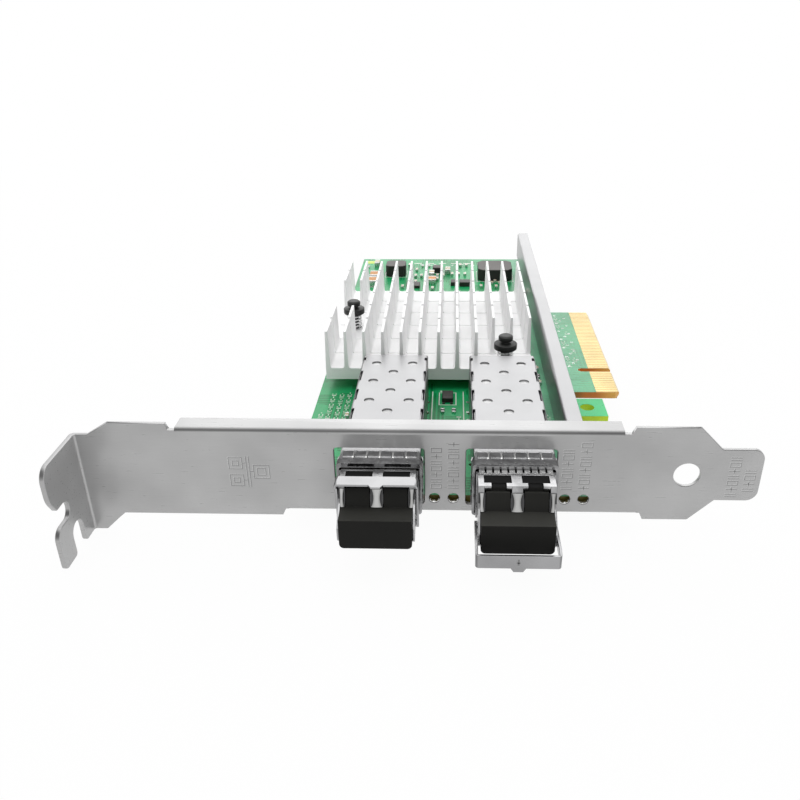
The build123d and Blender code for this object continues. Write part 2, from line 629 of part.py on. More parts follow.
def make_thermal_pad():
    """Soft pad between the chip's lid and the heat sink's base."""
    x, y = chip_centre()
    low = BOARD_TOP + CHIP_SUBSTRATE + CHIP_LID
    side = CHIP_LID_WIDTH - 1
    return Pos(x, y, (low + SINK_BOTTOM) / 2) * Box(side, side, SINK_BOTTOM - low)


def make_push_pin(place):
    """Moulded push pin: knob, neck, collar, shank and split barb under the board."""
    x, y = place
    top = BOARD_TOP + PIN_TOP
    neck_top = top - PIN_KNOB_HEIGHT
    collar_top = neck_top - PIN_NECK_HEIGHT
    collar_bottom = collar_top - PIN_COLLAR_HEIGHT
    barb_top = BOARD_BOTTOM
    barb_bottom = barb_top - PIN_BARB_HEIGHT
    profile = [
        (0, top), (PIN_KNOB_RADIUS * 0.7, top), (PIN_KNOB_RADIUS, top - 0.3),
        (PIN_KNOB_RADIUS, neck_top), (PIN_SHANK_RADIUS, neck_top), (PIN_SHANK_RADIUS, collar_top),
        (PIN_COLLAR_RADIUS, collar_top - 0.25), (PIN_COLLAR_RADIUS, collar_bottom + 0.35),
        (PIN_COLLAR_RADIUS * 0.75, collar_bottom), (PIN_SHANK_RADIUS, collar_bottom),
        (PIN_SHANK_RADIUS, barb_top), (PIN_BARB_RADIUS, barb_top), (PIN_BARB_RADIUS, barb_top - 0.4),
        (PIN_SHANK_RADIUS * 0.6, barb_bottom), (0, barb_bottom),
    ]
    pin = turned(x, y, profile)
    slit_height = PIN_BARB_HEIGHT + BOARD_THICKNESS * 0.6
    return pin - Pos(x, y, barb_bottom) * Box(0.5, 4 * PIN_BARB_RADIUS, 2 * slit_height)


def make_pin_spring(place):
    """Coil spring between the heat sink's base and the pin's collar."""
    x, y = place
    collar_bottom = BOARD_TOP + PIN_TOP - PIN_KNOB_HEIGHT - PIN_NECK_HEIGHT - PIN_COLLAR_HEIGHT
    low = SINK_FLOOR + SPRING_WIRE / 2
    high = collar_bottom - SPRING_WIRE / 2
    coil = Helix(pitch=(high - low) / SPRING_TURNS, height=high - low, radius=SPRING_RADIUS)
    section = Plane(origin=coil @ 0, z_dir=coil % 0) * RegularPolygon(SPRING_WIRE / 2, 6)
    return Pos(x, y, low) * sweep(section, path=coil, is_frenet=True)


def make_cage(centre):
    """Folded cage: open front, closed back, vent holes on top, fold slots and press pins."""
    left = centre - CAGE_WIDTH / 2
    right = centre + CAGE_WIDTH / 2
    cage = block(left, right, CAGE_FRONT, CAGE_BACK, BOARD_TOP, CAGE_TOP)
    cage = fillet(cage.edges().filter_by(Axis.Y).group_by(Axis.Z)[-1], 0.5)
    cage -= block(left + CAGE_WALL, right - CAGE_WALL, CAGE_FRONT - 1, CAGE_BACK - CAGE_WALL,
                  BOARD_TOP + CAGE_WALL, CAGE_TOP - CAGE_WALL)
    cage -= block(left + CAGE_WALL, right - CAGE_WALL, CAGE_FLOOR_END, CAGE_BACK - CAGE_WALL,
                  BOARD_TOP - 1, BOARD_TOP + 1)
    for row in range(CAGE_HOLE_ROWS):
        y = CAGE_HOLE_FIRST + row * CAGE_HOLE_STEP
        for shift in ((0,) if row % 2 == 0 else (-CAGE_HOLE_SIDE, CAGE_HOLE_SIDE)):
            cage -= rod_z(centre + shift, y, CAGE_TOP - 1, CAGE_TOP + 1, CAGE_HOLE_RADIUS)
    for side in (-1, 1):
        slot_x = centre + side * (CAGE_WIDTH / 2 - FOLD_SLOT_EDGE - FOLD_SLOT_WIDTH / 2)
        for y, length in FOLD_SLOTS:
            cage -= block(slot_x - FOLD_SLOT_WIDTH / 2, slot_x + FOLD_SLOT_WIDTH / 2,
                          y - length / 2, y + length / 2, CAGE_TOP - 0.6, CAGE_TOP + 1)
    for x, y in cage_pin_places(centre):
        cage += block(x - CAGE_WALL / 2, x + CAGE_WALL / 2, y - CAGE_PIN_WIDTH / 2, y + CAGE_PIN_WIDTH / 2,
                      BOARD_TOP - CAGE_PIN_DROP, BOARD_TOP + 1)
    return cage


def finger_strip(width, reach, bulge=FINGER_BULGE, sheet=COLLAR_SHEET):
    """One bowed spring finger: root at the origin, running back along Y and bowed up along Z."""
    under = ThreePointArc((0, 0), (reach / 2, bulge), (reach, 0))
    over = ThreePointArc((reach, sheet), (reach / 2, bulge + sheet), (0, sheet))
    ends = [Line((reach, 0), (reach, sheet)), Line((0, sheet), (0, 0))]
    face = Plane.YZ * make_face([under, ends[0], over, ends[1]])
    return Pos(-width / 2, 0, 0) * extrude(face, amount=width)


def make_collar(centre):
    """Spring collar: lip in front of the cage's mouth, band round it and bowed fingers behind."""
    left = centre - CAGE_WIDTH / 2
    right = centre + CAGE_WIDTH / 2
    band = block(left - COLLAR_SHEET, right + COLLAR_SHEET, CAGE_FRONT - COLLAR_SHEET,
                 CAGE_FRONT + COLLAR_BAND, BOARD_TOP - COLLAR_SHEET, CAGE_TOP + COLLAR_SHEET)
    band = fillet(band.edges().filter_by(Axis.Y), 0.6)
    cage_space = block(left, right, CAGE_FRONT, CAGE_FRONT + COLLAR_BAND + 1, BOARD_TOP, CAGE_TOP)
    mouth = block(left + MOUTH_SIDE, right - MOUTH_SIDE, CAGE_FRONT - 1, CAGE_FRONT + 0.5,
                  BOARD_TOP + MOUTH_BOTTOM, CAGE_TOP - MOUTH_TOP)
    collar = band - fillet(cage_space.edges().filter_by(Axis.Y).group_by(Axis.Z)[-1], 0.5)
    collar -= fillet(mouth.edges().filter_by(Axis.Y), 0.4)
    root = CAGE_FRONT + COLLAR_BAND - 0.05
    top_step = (CAGE_WIDTH - 1.0) / TOP_FINGERS
    side_step = (CAGE_HEIGHT - 1.4) / SIDE_FINGERS
    bottom_reach = FINGER_REACH * 0.95
    for i in range(TOP_FINGERS):
        x = centre + (i - (TOP_FINGERS - 1) / 2) * top_step
        finger_width = top_step - FINGER_GAP
        collar += Pos(x, root, CAGE_TOP) * finger_strip(finger_width, FINGER_REACH)
        collar += Pos(x, root, BOARD_TOP) * Rot(0, 180, 0) * finger_strip(finger_width, bottom_reach)
    for i in range(SIDE_FINGERS):
        z = (BOARD_TOP + CAGE_TOP) / 2 + (i - (SIDE_FINGERS - 1) / 2) * side_step
        for side in (-1, 1):
            finger = Rot(0, side * 90, 0) * finger_strip(side_step - FINGER_GAP, FINGER_REACH)
            collar += Pos(centre + side * CAGE_WIDTH / 2, root, z) * finger
    return collar


def make_cage_connector(centre):
    """Moulded socket at the back of a cage, with a slot for the module's board edge."""
    body = block(centre - SOCKET_WIDTH / 2, centre + SOCKET_WIDTH / 2, SOCKET_FRONT,
                 CAGE_BACK - CAGE_WALL - 0.3, BOARD_TOP, BOARD_TOP + SOCKET_HEIGHT)
    body = chamfer(body.edges().filter_by(Axis.X).group_by(Axis.Z)[-1], 0.6)
    slot_half = INNER_TONGUE_WIDTH / 2 + 0.15
    return body - block(centre - slot_half, centre + slot_half, SOCKET_FRONT - 1,
                        SOCKET_FRONT + SOCKET_SLOT_DEPTH, INNER_BOARD_BOTTOM - 0.1,
                        INNER_BOARD_BOTTOM + INNER_BOARD_THICKNESS + 0.1)


def make_module_body(centre):
    """Cast transceiver housing: open tub in the cage and a head with two optical bores."""
    half = MODULE_WIDTH / 2
    head_half = HEAD_WIDTH / 2
    tub_top = COVER_TOP - COVER_SHEET
    body = block(centre - half, centre + half, SHOULDER, MODULE_BACK, MODULE_BOTTOM, tub_top)
    body += block(centre - half, centre + half, SHOULDER, 0, tub_top - 0.1, MODULE_TOP)
    body -= block(centre - half + MODULE_WALL, centre + half - MODULE_WALL, 0, MODULE_BACK + 1,
                  INNER_BOARD_BOTTOM, MODULE_TOP + 1)
    ledge = INNER_BOARD_WIDTH / 2 - 0.9
    floor = MODULE_BOTTOM + MODULE_FLOOR
    body -= block(centre - ledge, centre + ledge, 0, MODULE_BACK + 1, floor, MODULE_TOP + 1)
    body -= block(centre - half + MODULE_WALL, centre + half - MODULE_WALL, 0, BARREL_BACK + 0.2, floor,
                  MODULE_TOP + 1)
    head = make_face(Polyline(
        (SHOULDER, HEAD_BOTTOM), (SHOULDER, HEAD_TOP), (HEAD_TOP_FRONT, HEAD_TOP), (HEAD_FRONT, SLOPE_START),
        (HEAD_FRONT, HEAD_BOTTOM), close=True))
    body += Pos(centre - head_half, 0, 0) * extrude(Plane.YZ * head, amount=HEAD_WIDTH)
    for side in (-1, 1):
        outer = centre + side * head_half
        inner = outer - side * CHEEK_THICKNESS
        cheek = make_face(Polyline(
            (HEAD_FRONT + 1.0, HEAD_BOTTOM), (HEAD_FRONT + 1.0, HEAD_TOP - CHEEK_ROOT_DROP),
            (HEAD_FRONT - 0.1, HEAD_TOP - CHEEK_STEP_DROP), (CHEEK_FRONT, CHEEK_TOP - 0.6),
            (CHEEK_FRONT, HEAD_BOTTOM + CHEEK_CORNER), (CHEEK_FRONT + CHEEK_CORNER, HEAD_BOTTOM),
            close=True))
        body += Pos(min(outer, inner), 0, 0) * extrude(Plane.YZ * cheek, amount=CHEEK_THICKNESS)
    for side in (-1, 1):
        x = centre + side * OPTIC_PITCH / 2
        body -= block(x - BORE_WIDTH / 2, x + BORE_WIDTH / 2, HEAD_FRONT - 1, BORE_BACK,
                      BORE_BOTTOM, BORE_TOP)
        body -= block(x - LATCH_GAP / 2, x + LATCH_GAP / 2, HEAD_FRONT - 1, LATCH_GAP_BACK, BORE_TOP - 1,
                      HEAD_TOP + 1)
        body -= rod_y(x, OPTIC_HEIGHT, BORE_BACK - 1, 1, NOSE_RADIUS + 0.05)
        for lip_side, tip in ((-1, MIDDLE_LIP_TIP), (1, SIDE_LIP_TIP)):
            edge = OPTIC_PITCH / 2 + lip_side * LATCH_GAP / 2
            ends = (centre + side * edge, centre + side * tip)
            body += block(min(ends), max(ends), HEAD_TOP_FRONT, HEAD_TOP_FRONT + LIP_LENGTH,
                          BORE_TOP, HEAD_TOP)
    body -= rod_x(BAIL_PIVOT_Y, BAIL_PIVOT_Z, centre - head_half - 1, centre + head_half + 1, BAIL_PIN_RADIUS)
    groove_half = SLIDE_WIDTH / 2 + SLIDE_CLEARANCE
    body -= block(centre - groove_half, centre + groove_half, SLIDE_FRONT - SLIDE_CLEARANCE - SLIDE_TRAVEL,
                  SLIDE_BACK + SLIDE_TRAVEL + SLIDE_CLEARANCE, HEAD_BOTTOM - 1,
                  MODULE_BOTTOM + SLIDE_LIFT + SLIDE_THICKNESS + SLIDE_CLEARANCE)
    return body


def make_module_spring(centre):
    """Finger strip on top of the housing, from just in front of the cage's mouth into it."""
    half = MODULE_WIDTH / 2 - 0.3
    root = MODULE_SPRING_FRONT + MODULE_SPRING_BAND
    spring = block(centre - half, centre + half, MODULE_SPRING_FRONT, root, MODULE_TOP,
                   MODULE_TOP + MODULE_SPRING_SHEET)
    step = 2 * half / MODULE_FINGERS
    for i in range(MODULE_FINGERS):
        x = centre + (i - (MODULE_FINGERS - 1) / 2) * step
        spring += Pos(x, root - 0.05, MODULE_TOP) * finger_strip(
            step - MODULE_FINGER_GAP, MODULE_FINGER_REACH, MODULE_FINGER_BULGE, MODULE_SPRING_SHEET)
    return spring


def make_module_cover(centre):
    """Sheet cover on the housing's tub, carried back over the cage's socket."""
    half = MODULE_WIDTH / 2
    cover = block(centre - half, centre + half, 0, COVER_BACK, COVER_TOP - COVER_SHEET, COVER_TOP)
    return fillet(cover.edges().filter_by(Axis.Y).group_by(Axis.Z)[-1], 0.2)


def make_module_board(centre):
    """The module's own board, with a narrow edge in the cage's socket."""
    half = INNER_BOARD_WIDTH / 2
    tongue = INNER_TONGUE_WIDTH / 2
    high = INNER_BOARD_BOTTOM + INNER_BOARD_THICKNESS
    board = block(centre - half, centre + half, INNER_BOARD_FRONT, MODULE_BACK - 1, INNER_BOARD_BOTTOM, high)
    return board + block(centre - tongue, centre + tongue, MODULE_BACK - 2, INNER_BOARD_BACK,
                         INNER_BOARD_BOTTOM, high)


def make_optics(centre):
    """Transmit and receive barrels with their noses in the bores."""
    barrels = []
    for side in (-1, 1):
        x = centre + side * OPTIC_PITCH / 2
        profile = rod_y(x, OPTIC_HEIGHT, NOSE_FRONT, 0.2, NOSE_RADIUS)
        profile += rod_y(x, OPTIC_HEIGHT, 0, BARREL_BACK, BARREL_RADIUS)
        barrels.append(profile)
    return Compound(barrels)


def make_dust_plug(centre):
    """Soft moulded plug: two prongs in the bores, joined by a grip in front of the head."""
    half = PLUG_WIDTH / 2
    plug = block(centre - half, centre + half, PLUG_FRONT, HEAD_FRONT, PLUG_BOTTOM, PLUG_TOP)
    plug = fillet(plug.edges().filter_by(Axis.Y).group_by(Axis.Z)[0], PLUG_CORNER)
    prong_low = BORE_BOTTOM + PRONG_CLEARANCE
    prong_high = BORE_TOP - PRONG_CLEARANCE
    slope = (HEAD_TOP_FRONT - HEAD_FRONT) / (HEAD_TOP - SLOPE_START)
    prong = make_face(Polyline(
        (HEAD_FRONT - 0.3, prong_low), (PRONG_BACK, prong_low), (PRONG_BACK, prong_high),
        (HEAD_FRONT + slope * (prong_high - SLOPE_START), prong_high), (HEAD_FRONT, SLOPE_START),
        (HEAD_FRONT - 0.3, SLOPE_START), close=True))
    for side in (-1, 1):
        x = centre + side * OPTIC_PITCH / 2
        reach = BORE_WIDTH / 2 - PRONG_CLEARANCE
        plug += Pos(x - reach, 0, 0) * extrude(Plane.YZ * prong, amount=2 * reach)
        rib = LATCH_GAP / 2 - PRONG_CLEARANCE
        rib_front = HEAD_TOP_FRONT + LIP_LENGTH + LIP_CLEARANCE
        plug += block(x - rib, x + rib, rib_front, LATCH_GAP_BACK - LIP_CLEARANCE, BORE_TOP - 1,
                      HEAD_TOP - LIP_CLEARANCE)
        key = (centre + side * (MIDDLE_LIP_TIP + LIP_CLEARANCE),
               centre + side * (SIDE_LIP_TIP - LIP_CLEARANCE))
        plug += block(min(key), max(key), HEAD_TOP_FRONT, rib_front, BORE_TOP - 1,
                      HEAD_TOP - 2 * LIP_CLEARANCE)
        plug -= rod_y(x, OPTIC_HEIGHT, NOSE_FRONT - NOSE_POCKET, PRONG_BACK + 1, NOSE_RADIUS + 0.2)
    return plug


def make_bail_pin(centre):
    """Steel pin across the module's head, on which the bail turns."""
    return rod_x(BAIL_PIVOT_Y, BAIL_PIVOT_Z, centre - BAIL_OUTER, centre + BAIL_OUTER, BAIL_PIN_RADIUS)


def make_bail(centre, angle):
    """Stamped bail, drawn upright over its pivot and then turned down by an angle."""
    bar_low = BAIL_RADIUS
    bar_high = BAIL_RADIUS + BAIL_SHEET
    bar_near = BAIL_BAR_SHIFT - BAIL_BAR_WIDTH / 2
    bar_far = BAIL_BAR_SHIFT + BAIL_BAR_WIDTH / 2
    bail = block(-BAIL_OUTER, BAIL_OUTER, bar_near, bar_far, bar_low, bar_high)
    for side in (-1, 1):
        low = min(side * BAIL_INNER, side * BAIL_OUTER)
        arm = make_face(Polyline(
            (-BAIL_ARM_WIDTH / 2, 0), (BAIL_ARM_WIDTH / 2, 0), (BAIL_ARM_WIDTH / 2, bar_low - 1.2),
            (bar_far, bar_low - 0.3), (bar_far, bar_high), (bar_near, bar_high), (bar_near, bar_low - 0.3),
            (-BAIL_ARM_WIDTH / 2, bar_low - 1.2), close=True))
        arm += Circle(BAIL_ARM_WIDTH / 2)
        arm -= Circle(BAIL_PIN_RADIUS + BAIL_PIN_CLEARANCE)
        bail += Pos(low, 0, 0) * extrude(Plane.YZ * arm, amount=BAIL_SHEET)
    corners = bail.edges().filter_by(Axis.Y).filter_by(
        lambda e: abs(abs(e.center().X) - BAIL_OUTER) < 0.01 and abs(e.center().Z - bar_high) < 0.01)
    bail = fillet(corners, BAIL_CORNER)
    bail += extrude(make_tab_face(bar_near, bar_high), amount=-BAIL_SHEET)
    return Pos(centre, BAIL_PIVOT_Y, BAIL_PIVOT_Z) * Rot(angle, 0, 0) * bail


def make_tab_face(near, height):
    """Thumb tab on the bail's cross bar."""
    wide = BAIL_TAB_WIDTH / 2
    narrow = wide * 0.6
    return Pos(0, 0, height) * make_face(Polyline(
        (-wide, near + 0.1), (wide, near + 0.1), (narrow, near - BAIL_TAB_LENGTH),
        (-narrow, near - BAIL_TAB_LENGTH), close=True))


def make_release_slide(centre, shift):
    """Flat slide under the module that frees it from the cage's latch."""
    half = SLIDE_WIDTH / 2
    low = MODULE_BOTTOM + SLIDE_LIFT
    slide = block(centre - half, centre + half, SLIDE_FRONT, SLIDE_BACK, low, low + SLIDE_THICKNESS)
    slide = chamfer(slide.edges().filter_by(Axis.X).group_by(Axis.Y)[-1].sort_by(Axis.Z)[0], 0.35)
    window = Box(SLIDE_WINDOW, SLIDE_WINDOW, 4 * SLIDE_THICKNESS)
    slide -= Pos(centre, SLIDE_BACK - SLIDE_WINDOW_INSET, low) * window
    return Pos(0, shift, 0) * slide


def on_board(size):
    """A rectangular component standing on the board."""
    left, near, width, length, height = size
    return block(left, left + width, near, near + length, BOARD_TOP, BOARD_TOP + height)


def make_port_chip():
    """Small packaged chip between the cages, with four feet."""
    left, near, width, length, height = PORT_CHIP
    body = block(left, left + width, near, near + length, BOARD_TOP + 0.1, BOARD_TOP + height)
    body = chamfer(body.edges().group_by(Axis.Z)[-1], 0.15)
    for x in (left + 0.35, left + width - 0.35):
        body += block(x - 0.3, x + 0.3, near - 0.7, near + length + 0.7, BOARD_TOP,
                      BOARD_TOP + LEAD_THICKNESS)
    return body


def make_flash_chip():
    """Eight-pin memory chip behind the heat sink."""
    left, near, width, length, height = FLASH_CHIP
    body = block(left, left + width, near, near + length, BOARD_TOP + 0.1, BOARD_TOP + height)
    body = chamfer(body.edges().group_by(Axis.Z)[-1], 0.25)
    for i in range(4):
        y = near + length / 2 + (i - 1.5) * 1.27
        body += block(left - 1.0, left + width + 1.0, y - 0.2, y + 0.2, BOARD_TOP, BOARD_TOP + LEAD_THICKNESS)
    return body


def make_inductors():
    """Shielded power inductors with clipped corners."""
    solids = []
    for size in INDUCTORS:
        body = on_board(size)
        body = chamfer(body.edges().filter_by(Axis.Z), min(size[2], size[3]) * 0.14)
        solids.append(body)
    return Compound(solids)


def make_blocks(sizes, bevel):
    """A group of bevelled rectangular packages."""
    return Compound([chamfer(on_board(size).edges().group_by(Axis.Z)[-1], bevel) for size in sizes])


def make_small_parts(places, size):
    """Rows of small end-capped chips, long side along Y."""
    width, length, height = size
    return Compound([on_board((x, y, width, length, height)) for x, y in places])


def make_ceramic_capacitors():
    """Small and bulk ceramic capacitors on the component side."""
    return Compound(list(make_small_parts(CAPACITORS, CAPACITOR_SIZE).solids())
                    + list(make_small_parts(BULK_CAPACITORS, BULK_CAPACITOR_SIZE).solids()))


def make_under_capacitors():
    """Decoupling capacitors on the underside, below the controller."""
    x, y = chip_centre()
    width, length, height = CAPACITOR_SIZE
    solids = []
    for column in range(UNDER_CAPACITOR_COLUMNS):
        for row in range(UNDER_CAPACITOR_ROWS):
            left = x + (column - (UNDER_CAPACITOR_COLUMNS - 1) / 2) * UNDER_CAPACITOR_STEP
            near = y + (row - (UNDER_CAPACITOR_ROWS - 1) / 2) * UNDER_CAPACITOR_STEP
            solids.append(block(left, left + width, near, near + length, BOARD_BOTTOM - height, BOARD_BOTTOM))
    return Compound(solids)


def make_lamps():
    """Side-firing lamps on the board behind the four holes of the bracket."""
    width, length, height = LAMP_SIZE
    return Compound([on_board((x - width / 2, LAMP_BACK, width, length, height)) for x in LIGHT_HOLES])


def all_nodes():
    """Every node of the card by name."""
    nodes = {
        "bracket": make_bracket(),
        "bracket_screws": make_bracket_screws(),
        "circuit_board": make_board(),
        "edge_contacts": make_edge_contacts(),
        "stiffener_rail": make_rail(),
        "rail_screws": make_rail_screws(),
        "heat_sink": make_heat_sink(),
        "thermal_pad": make_thermal_pad(),
        "controller_chip": make_controller_chip(),
        "push_pin_rear": make_push_pin(PIN_REAR),
        "push_pin_front": make_push_pin(PIN_FRONT),
        "pin_spring_rear": make_pin_spring(PIN_REAR),
        "pin_spring_front": make_pin_spring(PIN_FRONT),
        "port_chip": make_port_chip(),
        "flash_chip": make_flash_chip(),
        "power_inductors": make_inductors(),
        "regulator_chips": make_blocks(REGULATORS, 0.12),
        "tantalum_capacitors": make_blocks(TANTALUMS, 0.25),
        "crystal": make_blocks((CRYSTAL,), 0.2),
        "ceramic_capacitors": make_ceramic_capacitors(),
        "chip_resistors": make_small_parts(RESISTORS, RESISTOR_SIZE),
        "underside_capacitors": make_under_capacitors(),
        "indicator_lamps": make_lamps(),
    }
    bail_angles = {"left": BAIL_SHUT_ANGLE, "right": BAIL_OPEN_ANGLE}
    for side, centre in PORTS.items():
        nodes["cage_" + side] = make_cage(centre)
        nodes["collar_" + side] = make_collar(centre)
        nodes["cage_connector_" + side] = make_cage_connector(centre)
        opened = (bail_angles[side] - BAIL_SHUT_ANGLE) / (BAIL_OPEN_ANGLE - BAIL_SHUT_ANGLE)
        module = {
            "module_body_": make_module_body(centre),
            "module_cover_": make_module_cover(centre),
            "module_spring_": make_module_spring(centre),
            "module_board_": make_module_board(centre),
            "optics_": make_optics(centre),
            "dust_plug_": make_dust_plug(centre),
            "bail_pin_": make_bail_pin(centre),
            "latch_bail_": make_bail(centre, bail_angles[side]),
            "release_slide_": make_release_slide(centre, SLIDE_TRAVEL * opened),
        }
        for name, shape in module.items():
            nodes[name + side] = Pos(0, -MODULE_OUT[side], 0) * shape
    return nodes


os.makedirs("parts", exist_ok=True)
for name, shape in all_nodes().items():
    export_step(ORIGIN * shape, "parts/" + name + ".step")
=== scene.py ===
"""The looks of a two-port optical network card: its finishes, its small pieces, the studio and the camera."""

from __future__ import annotations

import json
import logging
import math
from dataclasses import dataclass, field
from enum import Enum

import bmesh
import bpy
from mathutils import Matrix, Vector
from mathutils.bvhtree import BVHTree
from mathutils.geometry import intersect_point_line

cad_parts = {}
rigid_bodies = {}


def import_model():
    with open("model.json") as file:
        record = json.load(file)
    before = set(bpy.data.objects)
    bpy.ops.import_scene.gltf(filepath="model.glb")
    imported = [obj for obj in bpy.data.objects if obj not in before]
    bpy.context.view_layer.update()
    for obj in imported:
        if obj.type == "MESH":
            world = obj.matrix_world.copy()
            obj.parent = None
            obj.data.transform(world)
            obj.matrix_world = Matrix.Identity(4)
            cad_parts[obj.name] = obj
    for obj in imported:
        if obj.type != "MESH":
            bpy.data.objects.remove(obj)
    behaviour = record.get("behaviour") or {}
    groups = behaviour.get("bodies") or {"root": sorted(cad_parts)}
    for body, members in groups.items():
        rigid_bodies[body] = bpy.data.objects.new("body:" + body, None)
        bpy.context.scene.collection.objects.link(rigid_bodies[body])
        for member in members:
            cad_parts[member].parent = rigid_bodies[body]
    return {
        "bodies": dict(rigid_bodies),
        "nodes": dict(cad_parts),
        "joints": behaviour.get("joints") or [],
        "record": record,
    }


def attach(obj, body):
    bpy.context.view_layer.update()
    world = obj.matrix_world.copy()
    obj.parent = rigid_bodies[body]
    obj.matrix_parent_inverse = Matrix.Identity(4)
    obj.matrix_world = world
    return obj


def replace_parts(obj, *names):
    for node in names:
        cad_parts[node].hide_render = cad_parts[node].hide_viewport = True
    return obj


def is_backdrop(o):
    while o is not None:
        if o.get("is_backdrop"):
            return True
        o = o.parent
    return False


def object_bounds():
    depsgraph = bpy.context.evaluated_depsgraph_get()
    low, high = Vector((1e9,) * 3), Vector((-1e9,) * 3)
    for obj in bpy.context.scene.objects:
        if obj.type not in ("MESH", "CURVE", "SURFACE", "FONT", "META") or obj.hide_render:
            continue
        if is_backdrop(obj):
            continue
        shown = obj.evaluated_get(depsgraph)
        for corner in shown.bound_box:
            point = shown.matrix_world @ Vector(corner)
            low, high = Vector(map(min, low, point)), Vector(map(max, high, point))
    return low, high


log = logging.getLogger("network_card")

Mesh = bmesh.types.BMesh
Tree = bpy.types.NodeTree
Node = bpy.types.Node
Socket = bpy.types.NodeSocket

HOLE_FROM_TAB = 107.3
HOLE_HEIGHT = 9.21
BOARD_TOP = 3.82


def place(x: float, y: float, z: float) -> Vector:
    """Turn a place given from the tab's face and the bracket's lower edge into the card's frame.

    Args:
        x, y, z: Millimetres along the bracket, back from its outer face, and up.

    Returns:
        The place in metres, from the centre of the bracket's round hole.
    """
    return Vector((x - HOLE_FROM_TAB, y, z - HOLE_HEIGHT)) / 1000.0


def linear(colour: str) -> tuple[float, float, float, float]:
    """Turn an sRGB hex value into linear light.

    Args:
        colour: Six hex digits after a hash.

    Returns:
        Red, green, blue and a full alpha.
    """
    parts = [int(colour[i:i + 2], 16) / 255.0 for i in (1, 3, 5)]
    light = [p / 12.92 if p <= 0.04045 else ((p + 0.055) / 1.055) ** 2.4 for p in parts]
    return light[0], light[1], light[2], 1.0


def add(tree: Tree, kind: str, links: dict | None = None, **settings: object) -> Node:
    """Add one node with its settings, values and links.

    Args:
        tree: The node tree that it goes into.
        kind: The node's type, without the words shader node.
        links: Input name or number to a value, or to the output or the node (its first output) that feeds it.
        settings: The node's own properties.

    Returns:
        The new node.
    """
    node = tree.nodes.new("ShaderNode" + kind)
    for name, value in settings.items():
        setattr(node, name, value)
    for socket, value in (links or {}).items():
        value = value.outputs[0] if isinstance(value, Node) else value
        if isinstance(value, Socket):
            tree.links.new(value, node.inputs[socket])
        else:
            node.inputs[socket].default_value = value
    return node


def bevel(shape: Mesh, edges: list, width: float, segments: int, clamp: bool = True) -> None:
    """Break some edges of a shape.

    Args:
        shape: The shape.
        edges: Its edges to break.
        width: How wide the broken edge is, in metres.
        segments: How many steps it has.
        clamp: Whether it narrows where there is no room.
    """
    bmesh.ops.bevel(shape, geom=edges, offset=width, offset_type="OFFSET", segments=segments, profile=0.5,
                    affect="EDGES", material=-1, clamp_overlap=clamp)


def strips(x0: float, y0: float, x1: float, y1: float, line: float) -> list[tuple[float, float, float, float]]:
    """Give the four strips that outline a box.

    Args:
        x0, y0, x1, y1: The box's corners.
        line: How wide the strips are.

    Returns:
        The corners of each strip.
    """
    return [(x0, y0, x1, y0 + line), (x0, y1 - line, x1, y1), (x0, y0 + line, x0 + line, y1 - line),
            (x1 - line, y0 + line, x1, y1 - line)]


class Side(Enum):
    """The two ports, by the middle of each along the bracket in millimetres."""

    LEFT = ("left", 54.35)
    RIGHT = ("right", 77.30)

    @property
    def word(self) -> str:
        """The side's name in the nodes."""
        return self.value[0]

    @property
    def middle(self) -> float:
        """Where the port's middle is along the bracket."""
        return self.value[1]


class Grain(Enum):
    """Which way the fine lines of a rolled or drawn sheet run, as a stretch of the pattern."""

    NONE = (1.0, 1.0, 1.0)
    ALONG_X = (0.06, 1.0, 1.0)
    ALONG_Y = (1.0, 0.05, 1.0)


